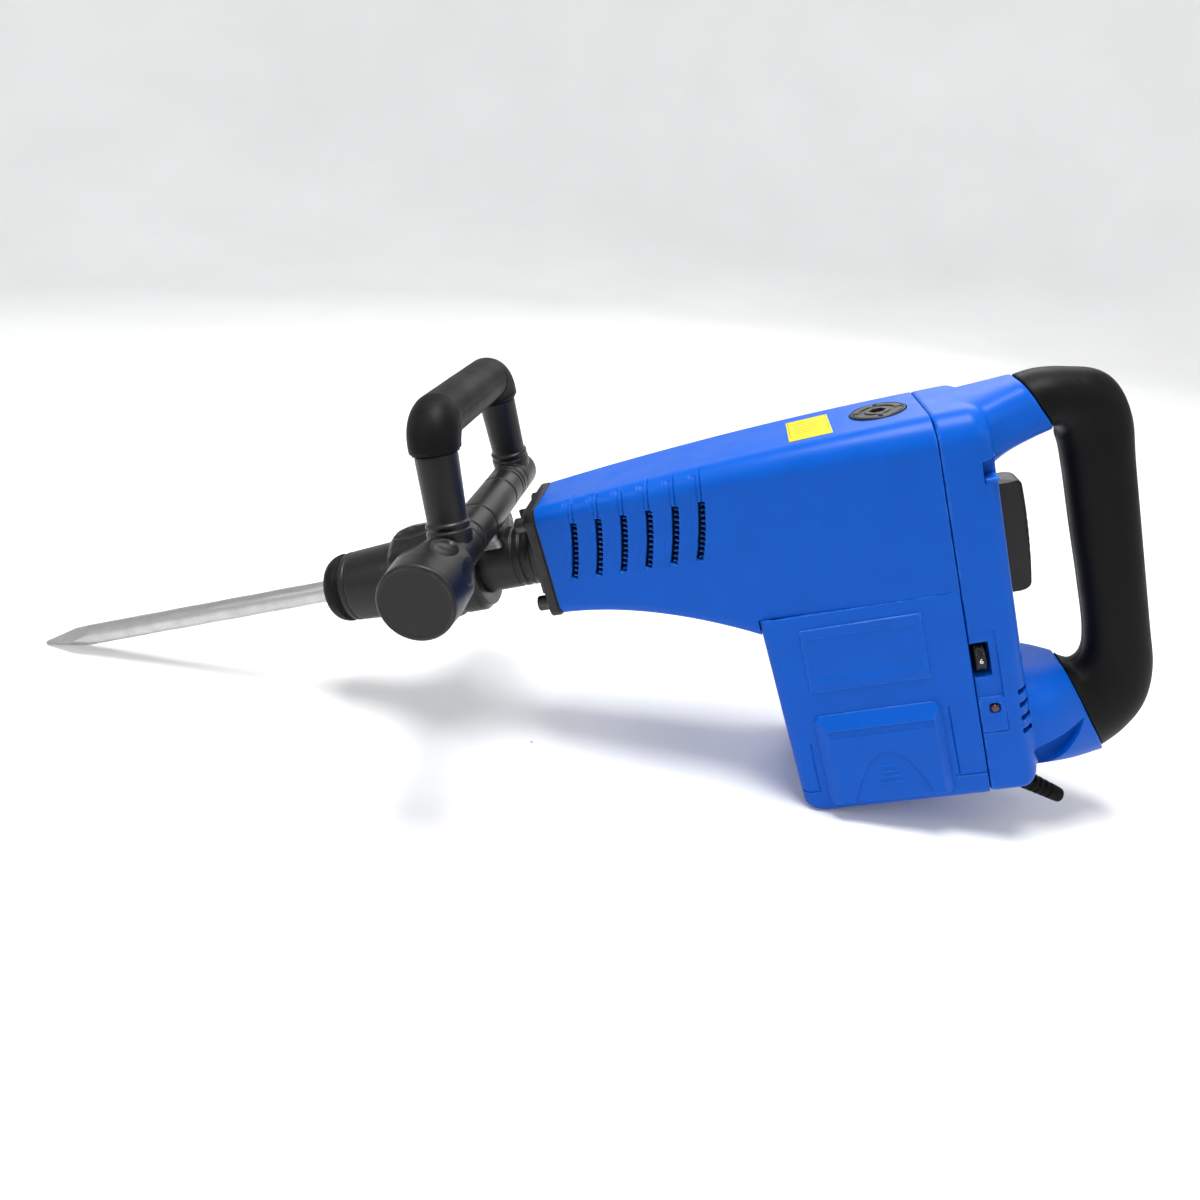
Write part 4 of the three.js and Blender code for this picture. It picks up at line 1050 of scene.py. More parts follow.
class HAMMER_OT_knob(Operator):
    """Makes the clamp knob with its disc face and oval scallops"""
    bl_idname = "hammer.knob"
    bl_label = "Clamp knob"

    def execute(self, context):
        face, rear, outer = KNOB_LOW[1], KNOB_HIGH[1], 25.0
        middle = face + 34

        def scalloped(angle, distance, radius):
            nearest = (angle / (2 * math.pi) * 7 - 0.2) % 1 - 0.5
            across = nearest * 2 * math.pi / 7 * outer / 8.4
            along = (distance - middle) / 13.5
            dent = np.clip(1 - across**2 - along**2, 0, 1) ** 0.55 * 4.0
            swell = 1.1 * np.exp(-((distance - middle + 2) / 14) ** 2)
            return np.where(radius > 12, radius + (swell - dent) * (distance > face + 8), radius)

        knob = turned("y", [
            (0.01, face + 0.5), (20, face + 0.4), (22.2, face + 0.25), (23.6, face), (25, face + 1.6),
            (24.6, face + 2.6), (24.9, face + 4), (25.4, face + 16), (25, face + 34), (21.5, rear - 6),
            (18, rear), (5.4, rear), (5.4, rear - 6),
        ], 252, 0.9, scalloped, 0.9)
        add_piece("clamp_knob", moved(knob, BAR_X, 0, BAR_Z), "knob", ["knob"], "black_plastic")
        return {"FINISHED"}


# ---- Shells -------------------------------------------------------------------------------------
def motor_half(z):
    share = (SEAM_Z - z) / (SEAM_Z - MOTOR_LOW[2])
    return MOTOR_HALF_TOP + (MOTOR_HIGH[1] - MOTOR_HALF_TOP) * share


def shell_rim(rows, start=True, inset=WALL, depth=6.0, axis=0):
    """Turns a shell's open edge inwards, so that its wall can be seen at the seam."""
    edge, inner = (rows[0], rows[1]) if start else (rows[-1], rows[-2])
    middle = edge.mean(0)
    shrink = edge - (edge - middle) * (inset / np.linalg.norm(edge - middle, axis=1, keepdims=True))
    lip = edge - (edge - middle) * (0.35 / np.linalg.norm(edge - middle, axis=1, keepdims=True))
    deep = shrink.copy()
    direction = np.sign(inner.mean(0)[axis] - edge.mean(0)[axis])
    deep[:, axis] += direction * depth
    soft = edge.copy()
    soft[:, axis] += direction * 0.35
    if start:
        return np.concatenate([[deep, shrink, lip, soft], rows[1:]])
    return np.concatenate([rows[:-1], [soft, lip, shrink, deep]])


class HAMMER_OT_barrel(Operator):
    """Makes the barrel housing with its toothed vents"""
    bl_idname = "hammer.barrel"
    bl_label = "Barrel housing"

    def execute(self, context):
        sizes = context.scene.hammer_sizes
        vents_end = VENT_FIRST_X + VENT_PITCH * (VENT_COUNT - 1) + 20
        step_x = MOTOR_LOW[0] - GAP
        stations = np.concatenate([
            [BARREL_LOW[0], BARREL_LOW[0] + 0.5], np.arange(10, vents_end, 0.55),
            np.arange(vents_end + 1, step_x, 2.0), [step_x, step_x + 0.15], np.arange(step_x + 3, SEAM_X - 3, 3.0),
            [SEAM_X - 1, SEAM_X],
        ])
        rows = np.array([self.section(x) for x in stations])
        rows, depth = sink(rows, self.depths(rows, sizes))
        rows[..., 2] = np.where(rows[..., 0] > step_x + 0.1, np.maximum(rows[..., 2], SEAM_Z), rows[..., 2])
        rows = shell_rim(shell_rim(rows, True), False)
        count = rows.shape[1]
        recess = np.concatenate([np.zeros(count * 3), depth])
        made = add_piece("barrel_shell", skin(rows, True, True, True), "housing", ["barrel_housing"], "blue_shell",
                         recess, 50)
        seat_radius = (OIL_HIGH[0] - OIL_LOW[0]) / 2 + 0.7
        seat = moved(rod_part("z", seat_radius, OIL_HIGH[2] - 9, OIL_HIGH[2] + 20), x=(OIL_LOW[0] + OIL_HIGH[0]) / 2)
        carve(made, seat)
        coat(made, "blue_shell")
        return {"FINISHED"}

    def section(self, x):
        along = (x - BARREL_LOW[0]) / (SEAM_X + GAP - BARREL_LOW[0])
        belly = min(1, (x - BARREL_LOW[0]) / (MOTOR_LOW[0] - BARREL_LOW[0]))
        half = FLANGE_HALF + (BARREL_HIGH[1] - FLANGE_HALF) * (1 - (1 - min(along, 1)) ** 1.8)
        top = FLANGE_TOP + (BARREL_HIGH[2] - FLANGE_TOP) * (1 - (1 - min(along, 1)) ** 1.9)
        bottom = FLANGE_BOTTOM - 38 * belly**1.9
        outline = rounded_section(half, top, bottom, 9 + 11 * along, 12, (120, 26, 50))
        return np.c_[np.full(len(outline), x), outline]

    def depths(self, rows, sizes):
        """Depth of the vents and their trailing lines, from the distance along each section."""
        steps = np.linalg.norm(np.diff(rows, axis=1, append=rows[:, :1]), axis=-1)
        run = np.cumsum(steps, 1) - steps
        x, y, z = rows[..., 0], rows[..., 1], rows[..., 2]
        depth = np.zeros(x.shape)
        for side in (1, -1):
            level = np.argmin(np.abs(z - VENT_MID_Z) + 1000 * (y * side < 0), axis=1)
            rise = (run - run[np.arange(len(run)), level][:, None]) * side
            rise = np.where(y * side > 0, np.clip(rise, -90, 90), -500)
            for i in range(VENT_COUNT):
                centre = VENT_FIRST_X + i * VENT_PITCH
                u = (x - centre) * math.cos(VENT_LEAN) - rise * math.sin(VENT_LEAN)
                v = (x - centre) * math.sin(VENT_LEAN) + rise * math.cos(VENT_LEAN)
                u = u + 0.0022 * (v + 8) ** 2 - 1.2
                slot = band(u, -2.2, 2.3, 0.7) * band(v, VENT_LOW_END, VENT_HIGH_END, 1.2)
                phase = ((v - VENT_LOW_END) / (VENT_HIGH_END - VENT_LOW_END) * sizes.vent_teeth) % 1
                tooth = band(phase, 0.30, 0.70, 0.22) * step_up(u, -0.9, 0.8)
                depth += slot * sizes.vent_depth * (1 - 0.78 * tooth)
                ramp = np.clip((u + 6.5) / 4.2, 0, 1) * (u < -2.3) * band(v, -29, 34, 2.5)
                depth += 0.9 * ramp
                tail = groove(u, 0.4, 0.45, 0.5) * band(v, VENT_HIGH_END, 41, 3)
                depth += 1.0 * tail
                depth += 0.35 * groove(u, -6.6, 0.25, 0.5) * band(v, -29, 34, 2)
        return depth


class HAMMER_OT_motor_housing(Operator):
    """Makes the upright motor housing with its panel lines"""
    bl_idname = "hammer.motor_housing"
    bl_label = "Motor housing"

    def execute(self, context):
        low, high = MOTOR_LOW[2], MOTOR_HIGH[2]
        rises = 9 * (1 - np.cos(np.linspace(0, math.pi / 2, 10)))
        stations = np.concatenate([low + rises, np.arange(low + 10, low + 40, 0.6),
                                   np.arange(low + 41, high - 1, 1.6), [high - 0.4, high]])
        rows = np.array([self.section(z) for z in stations])
        x, y, z = rows[..., 0], np.abs(rows[..., 1]), rows[..., 2]
        side = (y > 42) & (x > 154)
        front = x < 162
        lines = 0.9 * groove(z, low + 18, 0.5, 0.7) * ((side & ((x < 166) | (x > 258))) | front)
        lines = lines + 0.9 * groove(x, 164.5, 0.6, 0.9) * band(z, low + 18, low + 58, 1) * side
        lines = lines + 0.9 * groove(x, 261, 0.5, 0.9) * band(z, low + 18, low + 74, 1) * side
        rows, depth = sink(rows, lines)
        rows = shell_rim(rows, False, axis=2)
        count = rows.shape[1]
        floor_rows = rows[0]
        middle = floor_rows.mean(0)
        inner = [middle + (floor_rows - middle) * k + np.array([0, 0, dz])
                 for k, dz in ((0.02, 1.5), (0.80, 1.5), (0.82, 0))]
        part = skin(np.concatenate([inner, rows]), True, True, False)
        recess = np.concatenate([np.zeros(count * 3), depth])
        add_piece("motor_shell", part, "housing", ["motor_housing"], "blue_shell", recess, 35)
        return {"FINISHED"}

    def section(self, z):
        low = MOTOR_LOW[2]
        share = (SEAM_Z - z) / (SEAM_Z - low)
        front = 147 + 5 * share
        round_off = 1 - math.sqrt(max(0, 1 - (1 - min(1, (z - low) / 9)) ** 2))
        half = motor_half(z) - 4 * round_off
        outline = rounded_section(half, SEAM_X, front + 13 * round_off, 1.2, 8, (150, 20, 60))
        return np.c_[outline[:, 1], outline[:, 0], np.full(len(outline), z)]


class HAMMER_OT_rear_housing(Operator):
    """Makes the rear housing, blended into the two arms that carry the rear grip"""
    bl_idname = "hammer.rear_housing"
    bl_label = "Rear housing"

    def execute(self, context):
        top_arm = [
            [290, 28, 0, 27.4, 44], [308, 32.6, 4, 24.0, 40], [322, 37, 10, 21.2, 34], [336, 40, 18, 20.2, 28.5],
            [349.2, 42.2, 24, 20.0, 24],
        ]
        root = [
            [290, -181.5, 0, 35.8, 47], [316, -182, 3, 36.2, 45.5], [337, -184.5, 9, 36.6, 38.5],
            [356.4, -187.4, 15.7, 37.4, 25],
        ]
        arms = [skin(sweep(stations, 96, 8, 0.62), True, True, True) for stations in (top_arm, root)]
        rows = [self.section(x, inset) for x, inset in self.bulge()]
        made = new_object("rear_shell", joined(skin(rows, True, True, True), *arms))
        face_outwards(made)
        merged = made.modifiers.new("merge", "REMESH")
        merged.mode = "VOXEL"
        merged.voxel_size = 1.25 * MM
        soft = made.modifiers.new("soften", "SMOOTH")
        soft.factor = 0.5
        soft.iterations = 7
        apply_modifiers(made)
        self.keep_joints_flat(made)
        carve(made, joined(*self.small_openings()), joined(*self.pockets()), self.dial_well())
        coat(made, "blue_shell")
        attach(made, "housing")
        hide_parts("rear_housing")
        lips = [box_part(304.5, 313.4, y - 6, y + 6, 8.2, 11.6, 1.4) for y in (-42.5, 42.5)]
        add_piece("notch_lips", joined(*lips), "housing", [], "blue_shell")
        self.make_screws()
        return {"FINISHED"}

    def bulge(self):
        steps = [(REAR_LOW[0], 0.4), (REAR_LOW[0] + 0.4, 0.0), (REAR_LOW[0] + 12, 0.0)]
        for t in np.linspace(0.1, 1, 8) * math.pi / 2:
            steps.append((301 + 13.3 * math.sin(t), 12 * (1 - math.cos(t))))
        return steps

    def section(self, x, inset):
        outline = rounded_section(50 - inset, BARREL_HIGH[2] - inset, MOTOR_LOW[2] + inset,
                                  20 - inset * 0.6, 6, (60, 16, 30))
        z = outline[:, 1]
        widen = np.where(z < 0, motor_half(np.minimum(z, SEAM_Z)) / MOTOR_HALF_TOP, 1)
        return np.c_[np.full(len(outline), x), outline[:, 0] * widen, z]

    def keep_joints_flat(self, made):
        """Presses the seam face back onto its plane after the blending."""
        for vertex in made.data.vertices:
            point = TO_TOOL @ vertex.co
            if point.x < REAR_LOW[0] + 1.2:
                point.x = max(point.x, REAR_LOW[0])
                vertex.co = POSE @ point

    def small_openings(self):
        """The paddle's slot, the screws' counterbores, the side notches, the rear vents and the lamp's hole."""
        tools = [box_part(305, 345, -11.7, 11.7, PADDLE_LOW[2] - 0.7, PADDLE_HIGH[2] + 0.7, 1.5)]
        lamp = self.well(LAMP_LOW[0] - 0.5, LAMP_HIGH[0] + 0.5, LAMP_LOW[2] - 0.5, LAMP_HIGH[2] + 0.5, 3, 2.4)
        tools.append(lamp)
        tools += [moved(rod_part("x", 5.6, 309.2, 330), y=y, z=z) for y, z in SCREW_PLACES]
        for side in (-1, 1):
            slots = [box_part(304, 330, 36, 60, 9, 24, 1.0)]
            for i in range(4):
                top = -140.5 - i * 10
                slots.append(box_part(306.5, 313.8, 38, 60, top - 4.4, top, 1.2))
            tools += [(points * np.array([1, side, 1]), faces) for points, faces in slots]
            tools += self.panel_lines(side)
        return tools

    def pockets(self):
        """The stepped pocket round the speed dial, and a scoop in each side of the lower arm."""
        tools = [self.well(281.2, 297, -143, -93, 1.6, 1.4)]
        scoop = turned("x", [(0.8, 0), (10.5, 0), (10.5, 5), (8.6, 19), (5.2, 33), (0.8, 44)], 48, 1.0, capped=True)
        for side in (-1, 1):
            rise = Matrix.Rotation(math.radians(-24), 3, "Y")
            turn = Matrix.Rotation(math.radians(-24) * side, 3, "Z") @ rise
            tools.append(moved(scoop, 315.4, side * 44.5, -203, np.array(turn)))
        return tools

    def dial_well(self):
        """The slot for the speed dial, deep enough for the whole wheel and its digit to turn in."""
        deep = DIAL_HIGH[1] + motor_half(-114) + 1.5
        return self.well(281.2, 291.6, DIAL_LOW[2] - 1.2, DIAL_HIGH[2] + 1.2, deep, 1.4)

    def well(self, x0, x1, z0, z1, depth, corner):
        """A pocket in the left side whose walls slope a little."""
        wall = motor_half((z0 + z1) / 2)
        rows = []
        for y, grow in ((-wall - 6, 1.6), (-wall, 0.9), (-wall + depth, 0)):
            outline = rounded_section((x1 - x0) / 2 + grow, z1 + grow, z0 - grow, corner, corner, (2, 6, 2))
            rows.append(np.c_[outline[:, 0] + (x0 + x1) / 2, np.full(len(outline), y), outline[:, 1]])
        return skin(rows, True, True, True)

    def panel_lines(self, side):
        """Thin lines under and behind the lamp's panel."""
        wall = motor_half(-155)
        y0, y1 = sorted((side * (wall - 0.7), side * (wall + 4)))
        return [box_part(281, 296.6, y0, y1, -169.85, -169.15, 0.1), box_part(297.2, 297.9, y0, y1, -169.5, -146, 0.1)]

    def make_screws(self):
        def star(angle, distance, radii):
            lobes = 2.0 + 0.45 * np.cos(angle * 6)
            return np.where((radii < 3.2) & (radii > 0.5), lobes, radii)

        for i, (y, z) in enumerate(SCREW_PLACES, 1):
            head = turned("x", [
                (0.01, 310), (2.2, 310), (2.2, 312.1), (3.6, 312.3), (5, 311.2), (5, 309.4), (2.3, 309.3), (2.3, 287),
            ], 96, 0.3, star)
            add_piece(f"cover_screw_{i}", moved(head, y=y, z=z), "housing", [f"rear_screw_{i}"],
                      "dark_steel")


class HAMMER_OT_rear_grip(Operator):
    """Makes the D-shaped rubber rear grip"""
    bl_idname = "hammer.rear_grip"
    bl_label = "Rear grip"

    def execute(self, context):
        stations = [
            [349.7, 42.4, 24, 20.4, 24], [358, 42.8, 8, 19.9, 23.5], [368.5, 39.5, -16, 20.8, 22],
            [379.5, 33, -46, 24, 20.5], [385, 16, -76, 23.2, 19], [385.6, -8, -90, 22, 18.5],
            [386, -50, -90, 21.6, 18.5], [386.6, -95, -89, 21, 18.5], [386.6, -134, -91, 21, 18.5],
            [384.5, -157, -104, 23.6, 19], [377.5, -173.5, -126, 28.5, 20.5], [367.5, -182.5, -148, 33.5, 22],
            [356.8, -187.3, -164.3, 37.6, 25],
        ]

        def parting(share, turn, height, side):
            line = 1 - 0.012 * np.exp(-(np.cos(turn) / 0.035) ** 2)
            return height * line, side * line

        rows = rounded_ends(sweep(stations, 144, 10, 0.88, parting), 0.9)
        add_piece("rear_rubber_grip", skin(rows, True, True, True), "housing", ["rear_grip"], "grip_rubber")
        return {"FINISHED"}


# ---- Controls -----------------------------------------------------------------------------------
class HAMMER_OT_controls(Operator):
    """Makes the switch paddle, the speed dial with its digit and the lamp"""
    bl_idname = "hammer.controls"
    bl_label = "Controls"

    def execute(self, context):
        self.make_paddle()
        self.make_dial(context)
        lamp = turned("y", [
            (0.01, LAMP_HIGH[1]), (2.6, LAMP_HIGH[1]), (2.6, LAMP_LOW[1] + 0.6), (2.1, LAMP_LOW[1] + 0.1),
            (0.01, LAMP_LOW[1]),
        ], 64, 0.5)
        lamp_x, lamp_z = (LAMP_LOW[0] + LAMP_HIGH[0]) / 2, (LAMP_LOW[2] + LAMP_HIGH[2]) / 2
        add_piece("power_lamp", moved(lamp, lamp_x, 0, lamp_z), "housing", ["indicator_lamp"], "lamp_lens")
        return {"FINISHED"}

    def make_paddle(self):
        low, high = PADDLE_LOW[2], PADDLE_HIGH[2]
        rows = []
        for z in np.concatenate([np.linspace(low, low + 4, 8), np.linspace(low + 5, high - 5, 60),
                                 np.linspace(high - 4, high, 8)]):
            end = min(z - low, high - z)
            bow = 336.4 - 2.6 * ((z - (low + high) / 2 - 10) / 50) ** 2
            face = bow - 4.5 * (1 - math.sqrt(1 - (1 - min(1, end / 4.2)) ** 2))
            face -= 0.35 * sum(math.exp(-((z - (low + high) / 2 - k * 6) / 0.7) ** 2) for k in (-2, -1, 0, 1, 2))
            outline = rounded_section(11, face, 310.6, 4, 0.8, (14, 12, 14))
            rows.append(np.c_[outline[:, 1], outline[:, 0], np.full(len(outline), z)])
        add_piece("paddle_switch", skin(rows, True, True, True), "paddle", ["switch_paddle"], "black_plastic")

    def make_dial(self, context):
        middle = (DIAL_LOW + DIAL_HIGH) / 2
        outer = (DIAL_HIGH[2] - DIAL_LOW[2]) / 2

        def ridged(angle, distance, radius):
            ridge = 0.45 * (0.5 - 0.5 * np.cos(angle * 30)) * (np.abs(distance) > 1.9)
            return np.where(radius > outer - 1.2, radius - ridge, radius)

        wheel = turned("x", [
            (0.01, -3.5), (outer - 1, -3.5), (outer, -2.8), (outer, -1.9), (outer - 0.25, -1.7),
            (outer - 0.25, 1.7), (outer, 1.9), (outer, 2.8), (outer - 1, 3.5), (0.01, 3.5),
        ], 240, 0.3, ridged)
        add_piece("dial_wheel", moved(wheel, *middle), "dial", ["speed_dial"], "black_plastic")
        text = bpy.data.curves.new("digit", "FONT")
        text.body = "6"
        text.size = 5.2
        text.extrude = 0.12
        text.align_x = "CENTER"
        text.align_y = "CENTER"
        holder = bpy.data.objects.new("digit", text)
        context.scene.collection.objects.link(holder)
        mesh = bpy.data.meshes.new_from_object(holder.evaluated_get(context.evaluated_depsgraph_get()))
        bpy.data.objects.remove(holder)
        stand = Matrix.Translation((middle[0], DIAL_LOW[1] + 0.25, middle[2])) @ Matrix.Rotation(math.pi / 2, 4, "X")
        mesh.transform(POSE @ stand)
        digit = bpy.data.objects.new("dial_digit", mesh)
        context.scene.collection.objects.link(digit)
        mesh.materials.append(finish("digit_paint"))
        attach(digit, "dial")


# ---- Panels, covers, label, oil cap, strain relief ----------------------------------------------
def side_panel(side, x_range, z_range, height, spacing=0.6):
    """A closed pad on the motor housing's side. height(x, z) is how far it stands proud."""
    columns = max(8, round((x_range[1] - x_range[0]) / spacing))
    levels = max(8, round((z_range[1] - z_range[0]) / spacing))
    x, z = np.meshgrid(np.linspace(*x_range, columns), np.linspace(*z_range, levels))
    wall = motor_half(z) + GAP
    rise = np.maximum(height(x, z), 0.02)
    top = np.stack([x, side * (wall + rise), z], -1)
    foot = np.stack([x, side * wall, z], -1)
    border = [(i, 0) for i in range(levels)] + [(levels - 1, j) for j in range(1, columns)]
    border += [(i, columns - 1) for i in range(levels - 2, -1, -1)] + [(0, j) for j in range(columns - 2, 0, -1)]
    face = skin(top, False)
    skirt = skin([[foot[i, j] for i, j in border], [top[i, j] for i, j in border]], True, True)
    return joined(face, skirt)


def edge_round(x, z, x_range, z_range, radius, corner=6.0):
    """1 inside a panel and falling to 0 at its rounded outline, as a quarter circle would."""
    centre_x, centre_z = sum(x_range) / 2, sum(z_range) / 2
    half_x, half_z = (x_range[1] - x_range[0]) / 2, (z_range[1] - z_range[0]) / 2
    over_x = np.maximum(np.abs(x - centre_x) - half_x + corner, 0)
    over_z = np.maximum(np.abs(z - centre_z) - half_z + corner, 0)
    inside = corner - np.hypot(over_x, over_z)
    straight = np.minimum(half_x - np.abs(x - centre_x), half_z - np.abs(z - centre_z))
    inside = np.where((over_x > 0) & (over_z > 0), inside, straight)
    return np.sqrt(np.clip(1 - (1 - np.clip(inside / radius, 0, 1)) ** 2, 0, 1))


class HAMMER_OT_side_panels(Operator):
    """Makes the blank name panels and the knurled service covers on both sides"""
    bl_idname = "hammer.side_panels"
    bl_label = "Side panels"

    def execute(self, context):
        pitch = context.scene.hammer_sizes.knurl_pitch
        for name, side in (("left", -1), ("right", 1)):
            panel = side_panel(side, (PANEL_LOW[0], PANEL_HIGH[0]), (PANEL_LOW[2], PANEL_HIGH[2]), self.panel_height)
            add_piece(f"blank_name_panel_{name}", panel, "housing", [f"name_panel_{name}"], "blue_shell")
            cover = side_panel(side, (COVER_LOW[0], COVER_HIGH[0]), (COVER_LOW[2], COVER_HIGH[2]),
                               lambda x, z: self.cover_height(x, z, pitch), 0.5)
            add_piece(f"brush_cover_{name}", cover, f"cover_{name}", [f"service_cover_{name}"], "blue_shell")
        return {"FINISHED"}

    def panel_height(self, x, z):
        outer = ((PANEL_LOW[0], PANEL_HIGH[0]), (PANEL_LOW[2], PANEL_HIGH[2]))
        inner = ((PANEL_LOW[0] + 3, PANEL_HIGH[0] - 4), (PANEL_LOW[2] + 9.5, PANEL_HIGH[2] - 7))
        rim = edge_round(x, z, *outer, 0.8, 2.5)
        field = edge_round(x, z, *inner, 0.8, 2.5)
        return 0.8 * rim - 0.6 * field

    def cover_height(self, x, z, pitch):
        """Four bevels that meet in creases, a knurled strip and a shallow arch with short bars."""
        full = 6.4
        slopes = [
            0.5 + (COVER_HIGH[2] - z) * full / TOP_BEVEL, 0.5 + (x - COVER_LOW[0]) * full / SIDE_BEVEL,
            0.5 + (COVER_HIGH[0] - x) * full / (SIDE_BEVEL - 1.5), 0.5 + (z - COVER_LOW[2]) * full / 4.5,
        ]
        sharpness = 0.22
        height = sum(np.exp(-slope / sharpness) for slope in slopes) + math.exp(-full / sharpness)
        height = -sharpness * np.log(height)
        outline = ((COVER_LOW[0], COVER_HIGH[0]), (COVER_LOW[2], COVER_HIGH[2]))
        height = np.minimum(height, full * edge_round(x, z, *outline, 3.0, 7.0))
        crease = COVER_HIGH[2] - TOP_BEVEL
        inside = band(x, COVER_LOW[0] + SIDE_BEVEL, COVER_HIGH[0] - SIDE_BEVEL + 1.5, 0.8)
        strip = band(z, crease - 6.4, crease - 0.4, 0.7) * inside
        one = np.abs(((x + z) / pitch) % 1 - 0.5)
        two = np.abs(((x - z) / pitch) % 1 - 0.5)
        height = height - strip * (0.3 + 1.3 * np.minimum(one, two))
        middle = (COVER_LOW[0] + COVER_HIGH[0]) / 2 + 2
        below = crease - 20 - ((x - middle) / 25) ** 2 * 33 - z
        height = height - 1.2 * step_up(below, 0, 1.0) * np.exp(-np.maximum(below, 0) / 22) * inside
        for i in range(4):
            width = 4.5 + 1.5 * i
            bar = groove(z, crease - 32 - i * 4.4, 0.6, 0.7) * band(x, middle - width, middle + width, 1)
            height = height + 0.6 * bar
        return height


class HAMMER_OT_top_fittings(Operator):
    """Makes the blank label and the oil filler cap on top of the barrel"""
    bl_idname = "hammer.top_fittings"
    bl_label = "Label and oil cap"

    def execute(self, context):
        x, y = np.meshgrid(np.linspace(LABEL_LOW[0], LABEL_HIGH[0], 40), np.linspace(LABEL_LOW[1], LABEL_HIGH[1], 60))
        spans = ((LABEL_LOW[0], LABEL_HIGH[0]), (LABEL_LOW[1], LABEL_HIGH[1]))
        top = self.roof(x)
        rise = 0.12 + 0.35 * edge_round(x, y, *spans, 0.7, 2.0)
        film = skin(np.stack([x, y, top + rise], -1), False)
        back = skin(np.stack([x, y, top + 0.1], -1)[::-1], False)
        add_piece("blank_yellow_label", joined(film, back), "housing", ["top_label"], "yellow_film")
        add_piece("label_marks", joined(*self.label_marks()), "housing", [], "black_plastic")
        self.make_cap()
        return {"FINISHED"}

    def label_marks(self):
        """Plain bars and a thin frame in place of print."""
        edge_x, edge_y = LABEL_LOW[0] + 1.4, LABEL_HIGH[1] - 1.4
        far_x = LABEL_HIGH[0] - 1.4
        bars = [(edge_x, far_x, y, 0.3) for y in (-edge_y, edge_y)]
        for i, share in enumerate((0.45, 0.85, 0.8, 0.85, 0.6)):
            bars.append((edge_x + 2.5, edge_x + 2.5 + (far_x - edge_x - 5) * share, edge_y * (0.62 - 0.31 * i), 0.7))
        marks = []
        for x0, x1, y, wide in bars:
            x, across = np.meshgrid(np.linspace(x0, x1, 8), (y - wide / 2, y + wide / 2))
            marks.append(skin(np.stack([x, across, self.roof(x) + 0.52], -1), False))
        for x0 in (edge_x, far_x):
            x, across = np.meshgrid((x0 - 0.15, x0 + 0.15), np.linspace(-edge_y, edge_y, 8))
            marks.append(skin(np.stack([x, across, self.roof(x) + 0.52], -1), False))
        return marks

    def roof(self, x):
        """Height of the barrel's flat top at a distance along the tool."""
        along = (x - BARREL_LOW[0]) / (SEAM_X + GAP - BARREL_LOW[0])
        return FLANGE_TOP + (BARREL_HIGH[2] - FLANGE_TOP) * (1 - (1 - along) ** 1.9)

    def make_cap(self):
        middle_x = (OIL_LOW[0] + OIL_HIGH[0]) / 2
        outer, top = (OIL_HIGH[0] - OIL_LOW[0]) / 2, OIL_HIGH[2]
        angles = np.linspace(0, 2 * math.pi, 288, endpoint=False)
        radii = np.concatenate([[0.02], np.arange(0.4, outer - 1, 0.3), outer - 1 + np.sin(np.linspace(0, 1.5, 6))])
        rows = []
        for radius in radii:
            corner = np.abs((angles % (math.pi / 3)) - math.pi / 6)
            hexagon = radius * np.cos(corner)
            sunk = 4.5 * (1 - step_up(hexagon, 4.7, 0.5))
            sunk = sunk + 0.7 * groove(radius, 10.2, 1.6, 0.7) + 0.5 * groove(radius, 16.9, 0.35, 0.5)
            quarter = np.abs(((angles + math.pi / 4) % (math.pi / 2)) - math.pi / 4) * radius
            sunk = sunk + 1.1 * (1 - step_up(quarter, 1.2, 0.5)) * band(radius, 12.6, 16.2, 0.6)
            edge = max(0.0, radius - outer + 1)
            height = top - sunk - (1 - math.sqrt(max(0, 1 - edge**2))) * 0.9
            rows.append(np.stack([radius * np.cos(angles), radius * np.sin(angles), height + 0 * angles], -1))
        below = [(outer, top - 1.8), (12.7, 54.9), (12.7, OIL_LOW[2])]
        rows += [np.stack([r * np.cos(angles), r * np.sin(angles), np.full(288, z)], -1) for r, z in below]
        cap = moved(skin(rows, True, False, True), x=middle_x)
        add_piece("oil_filler_cap", cap, "oil_cap", ["oil_cap"], "black_plastic")


class HAMMER_OT_strain_relief(Operator):
    """Makes the ribbed rubber strain relief under the rear housing"""
    bl_idname = "hammer.strain_relief"
    bl_label = "Strain relief"

    def execute(self, context):
        rings = context.scene.hammer_sizes.boot_rings
        entry_x, entry_z, angle = 290.0, -220.4, -38.4

        def ribbed(angles, distance, radius):
            for i in range(rings):
                at = 14 + i * 4.8
                radius = radius - 0.8 * groove(distance, at, 0.8, 0.8) * (radius > 3)
            return radius

        boot = turned("x", [
            (0.02, -7), (8, -7), (8, 4), (7, 24), (5.6, 49), (5.2, 53), (4.2, 54), (3.2, 54), (3.0, 50), (0.02, 50),
        ], 96, 0.8, ribbed, 0.5)
        tilt = np.array(Matrix.Rotation(math.radians(-angle), 3, "Y"))
        add_piece("cord_strain_relief", moved(boot, entry_x, -20, entry_z, tilt), "housing", ["cord_boot"],
                  "soft_rubber")
        return {"FINISHED"}


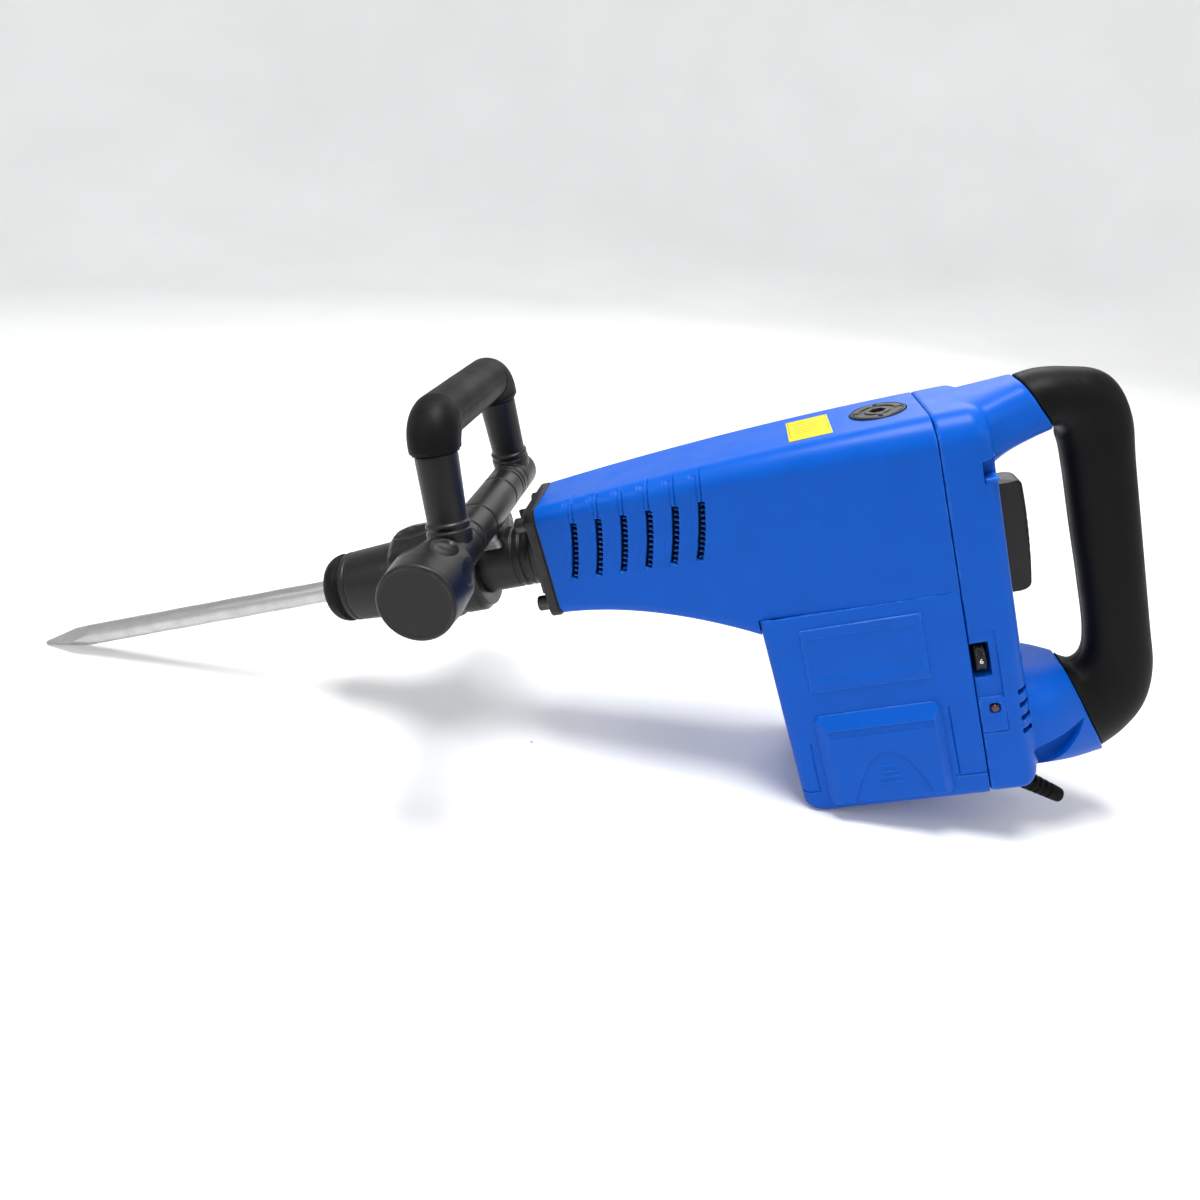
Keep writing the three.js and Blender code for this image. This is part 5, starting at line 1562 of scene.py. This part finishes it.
class HAMMER_OT_inner_works(Operator):
    """Gives the mechanism and the motor, which stay as they are, their own finishes"""
    bl_idname = "hammer.inner_works"
    bl_label = "Inner works"

    def execute(self, context):
        finishes = {
            "chisel_steel": "chisel_steel", "dark_steel": "dark_steel", "bright_steel": "bright_steel",
            "black_plastic": "black_plastic", "rubber": "soft_rubber", "aluminium": "aluminium",
            "copper": "copper", "brass": "brass", "blue_shell": "blue_shell", "yellow_film": "yellow_film",
        }
        slots = {entry["node"]: entry["material_slot"] for entry in frame["record"]["subparts"]}
        for name, node in frame["nodes"].items():
            if node.hide_render:
                continue
            node.data.materials.clear()
            node.data.materials.append(finish(finishes[slots[name]]))
        return {"FINISHED"}


class HAMMER_PT_panel(Panel):
    """Lists the hammer's steps and settings"""
    bl_idname = "HAMMER_PT_panel"
    bl_label = "Demolition hammer"
    bl_space_type = "VIEW_3D"
    bl_region_type = "UI"
    bl_category = "Hammer"

    def draw(self, context):
        for settings in (context.scene.hammer_sizes, context.scene.hammer_colours):
            for name in settings.bl_rna.properties.keys():
                if name not in ("name", "rna_type"):
                    self.layout.prop(settings, name)
        for step in STEPS:
            self.layout.operator(step.bl_idname)


STEPS = (
    HAMMER_OT_stage, HAMMER_OT_chisel, HAMMER_OT_nose, HAMMER_OT_neck, HAMMER_OT_front_handle,
    HAMMER_OT_knob, HAMMER_OT_barrel, HAMMER_OT_motor_housing, HAMMER_OT_rear_housing,
    HAMMER_OT_rear_grip, HAMMER_OT_controls, HAMMER_OT_side_panels, HAMMER_OT_top_fittings,
    HAMMER_OT_strain_relief, HAMMER_OT_inner_works,
)
CLASSES = (HammerSizes, HammerColours, *STEPS, HAMMER_PT_panel)


def register():
    for cls in CLASSES:
        bpy.utils.register_class(cls)
    bpy.types.Scene.hammer_sizes = PointerProperty(type=HammerSizes)
    bpy.types.Scene.hammer_colours = PointerProperty(type=HammerColours)


def unregister():
    del bpy.types.Scene.hammer_colours
    del bpy.types.Scene.hammer_sizes
    for cls in reversed(CLASSES):
        bpy.utils.unregister_class(cls)


def main():
    register()
    for step in STEPS:
        area, name = step.bl_idname.split(".")
        getattr(getattr(bpy.ops, area), name)()


if __name__ == "__main__":
    main()
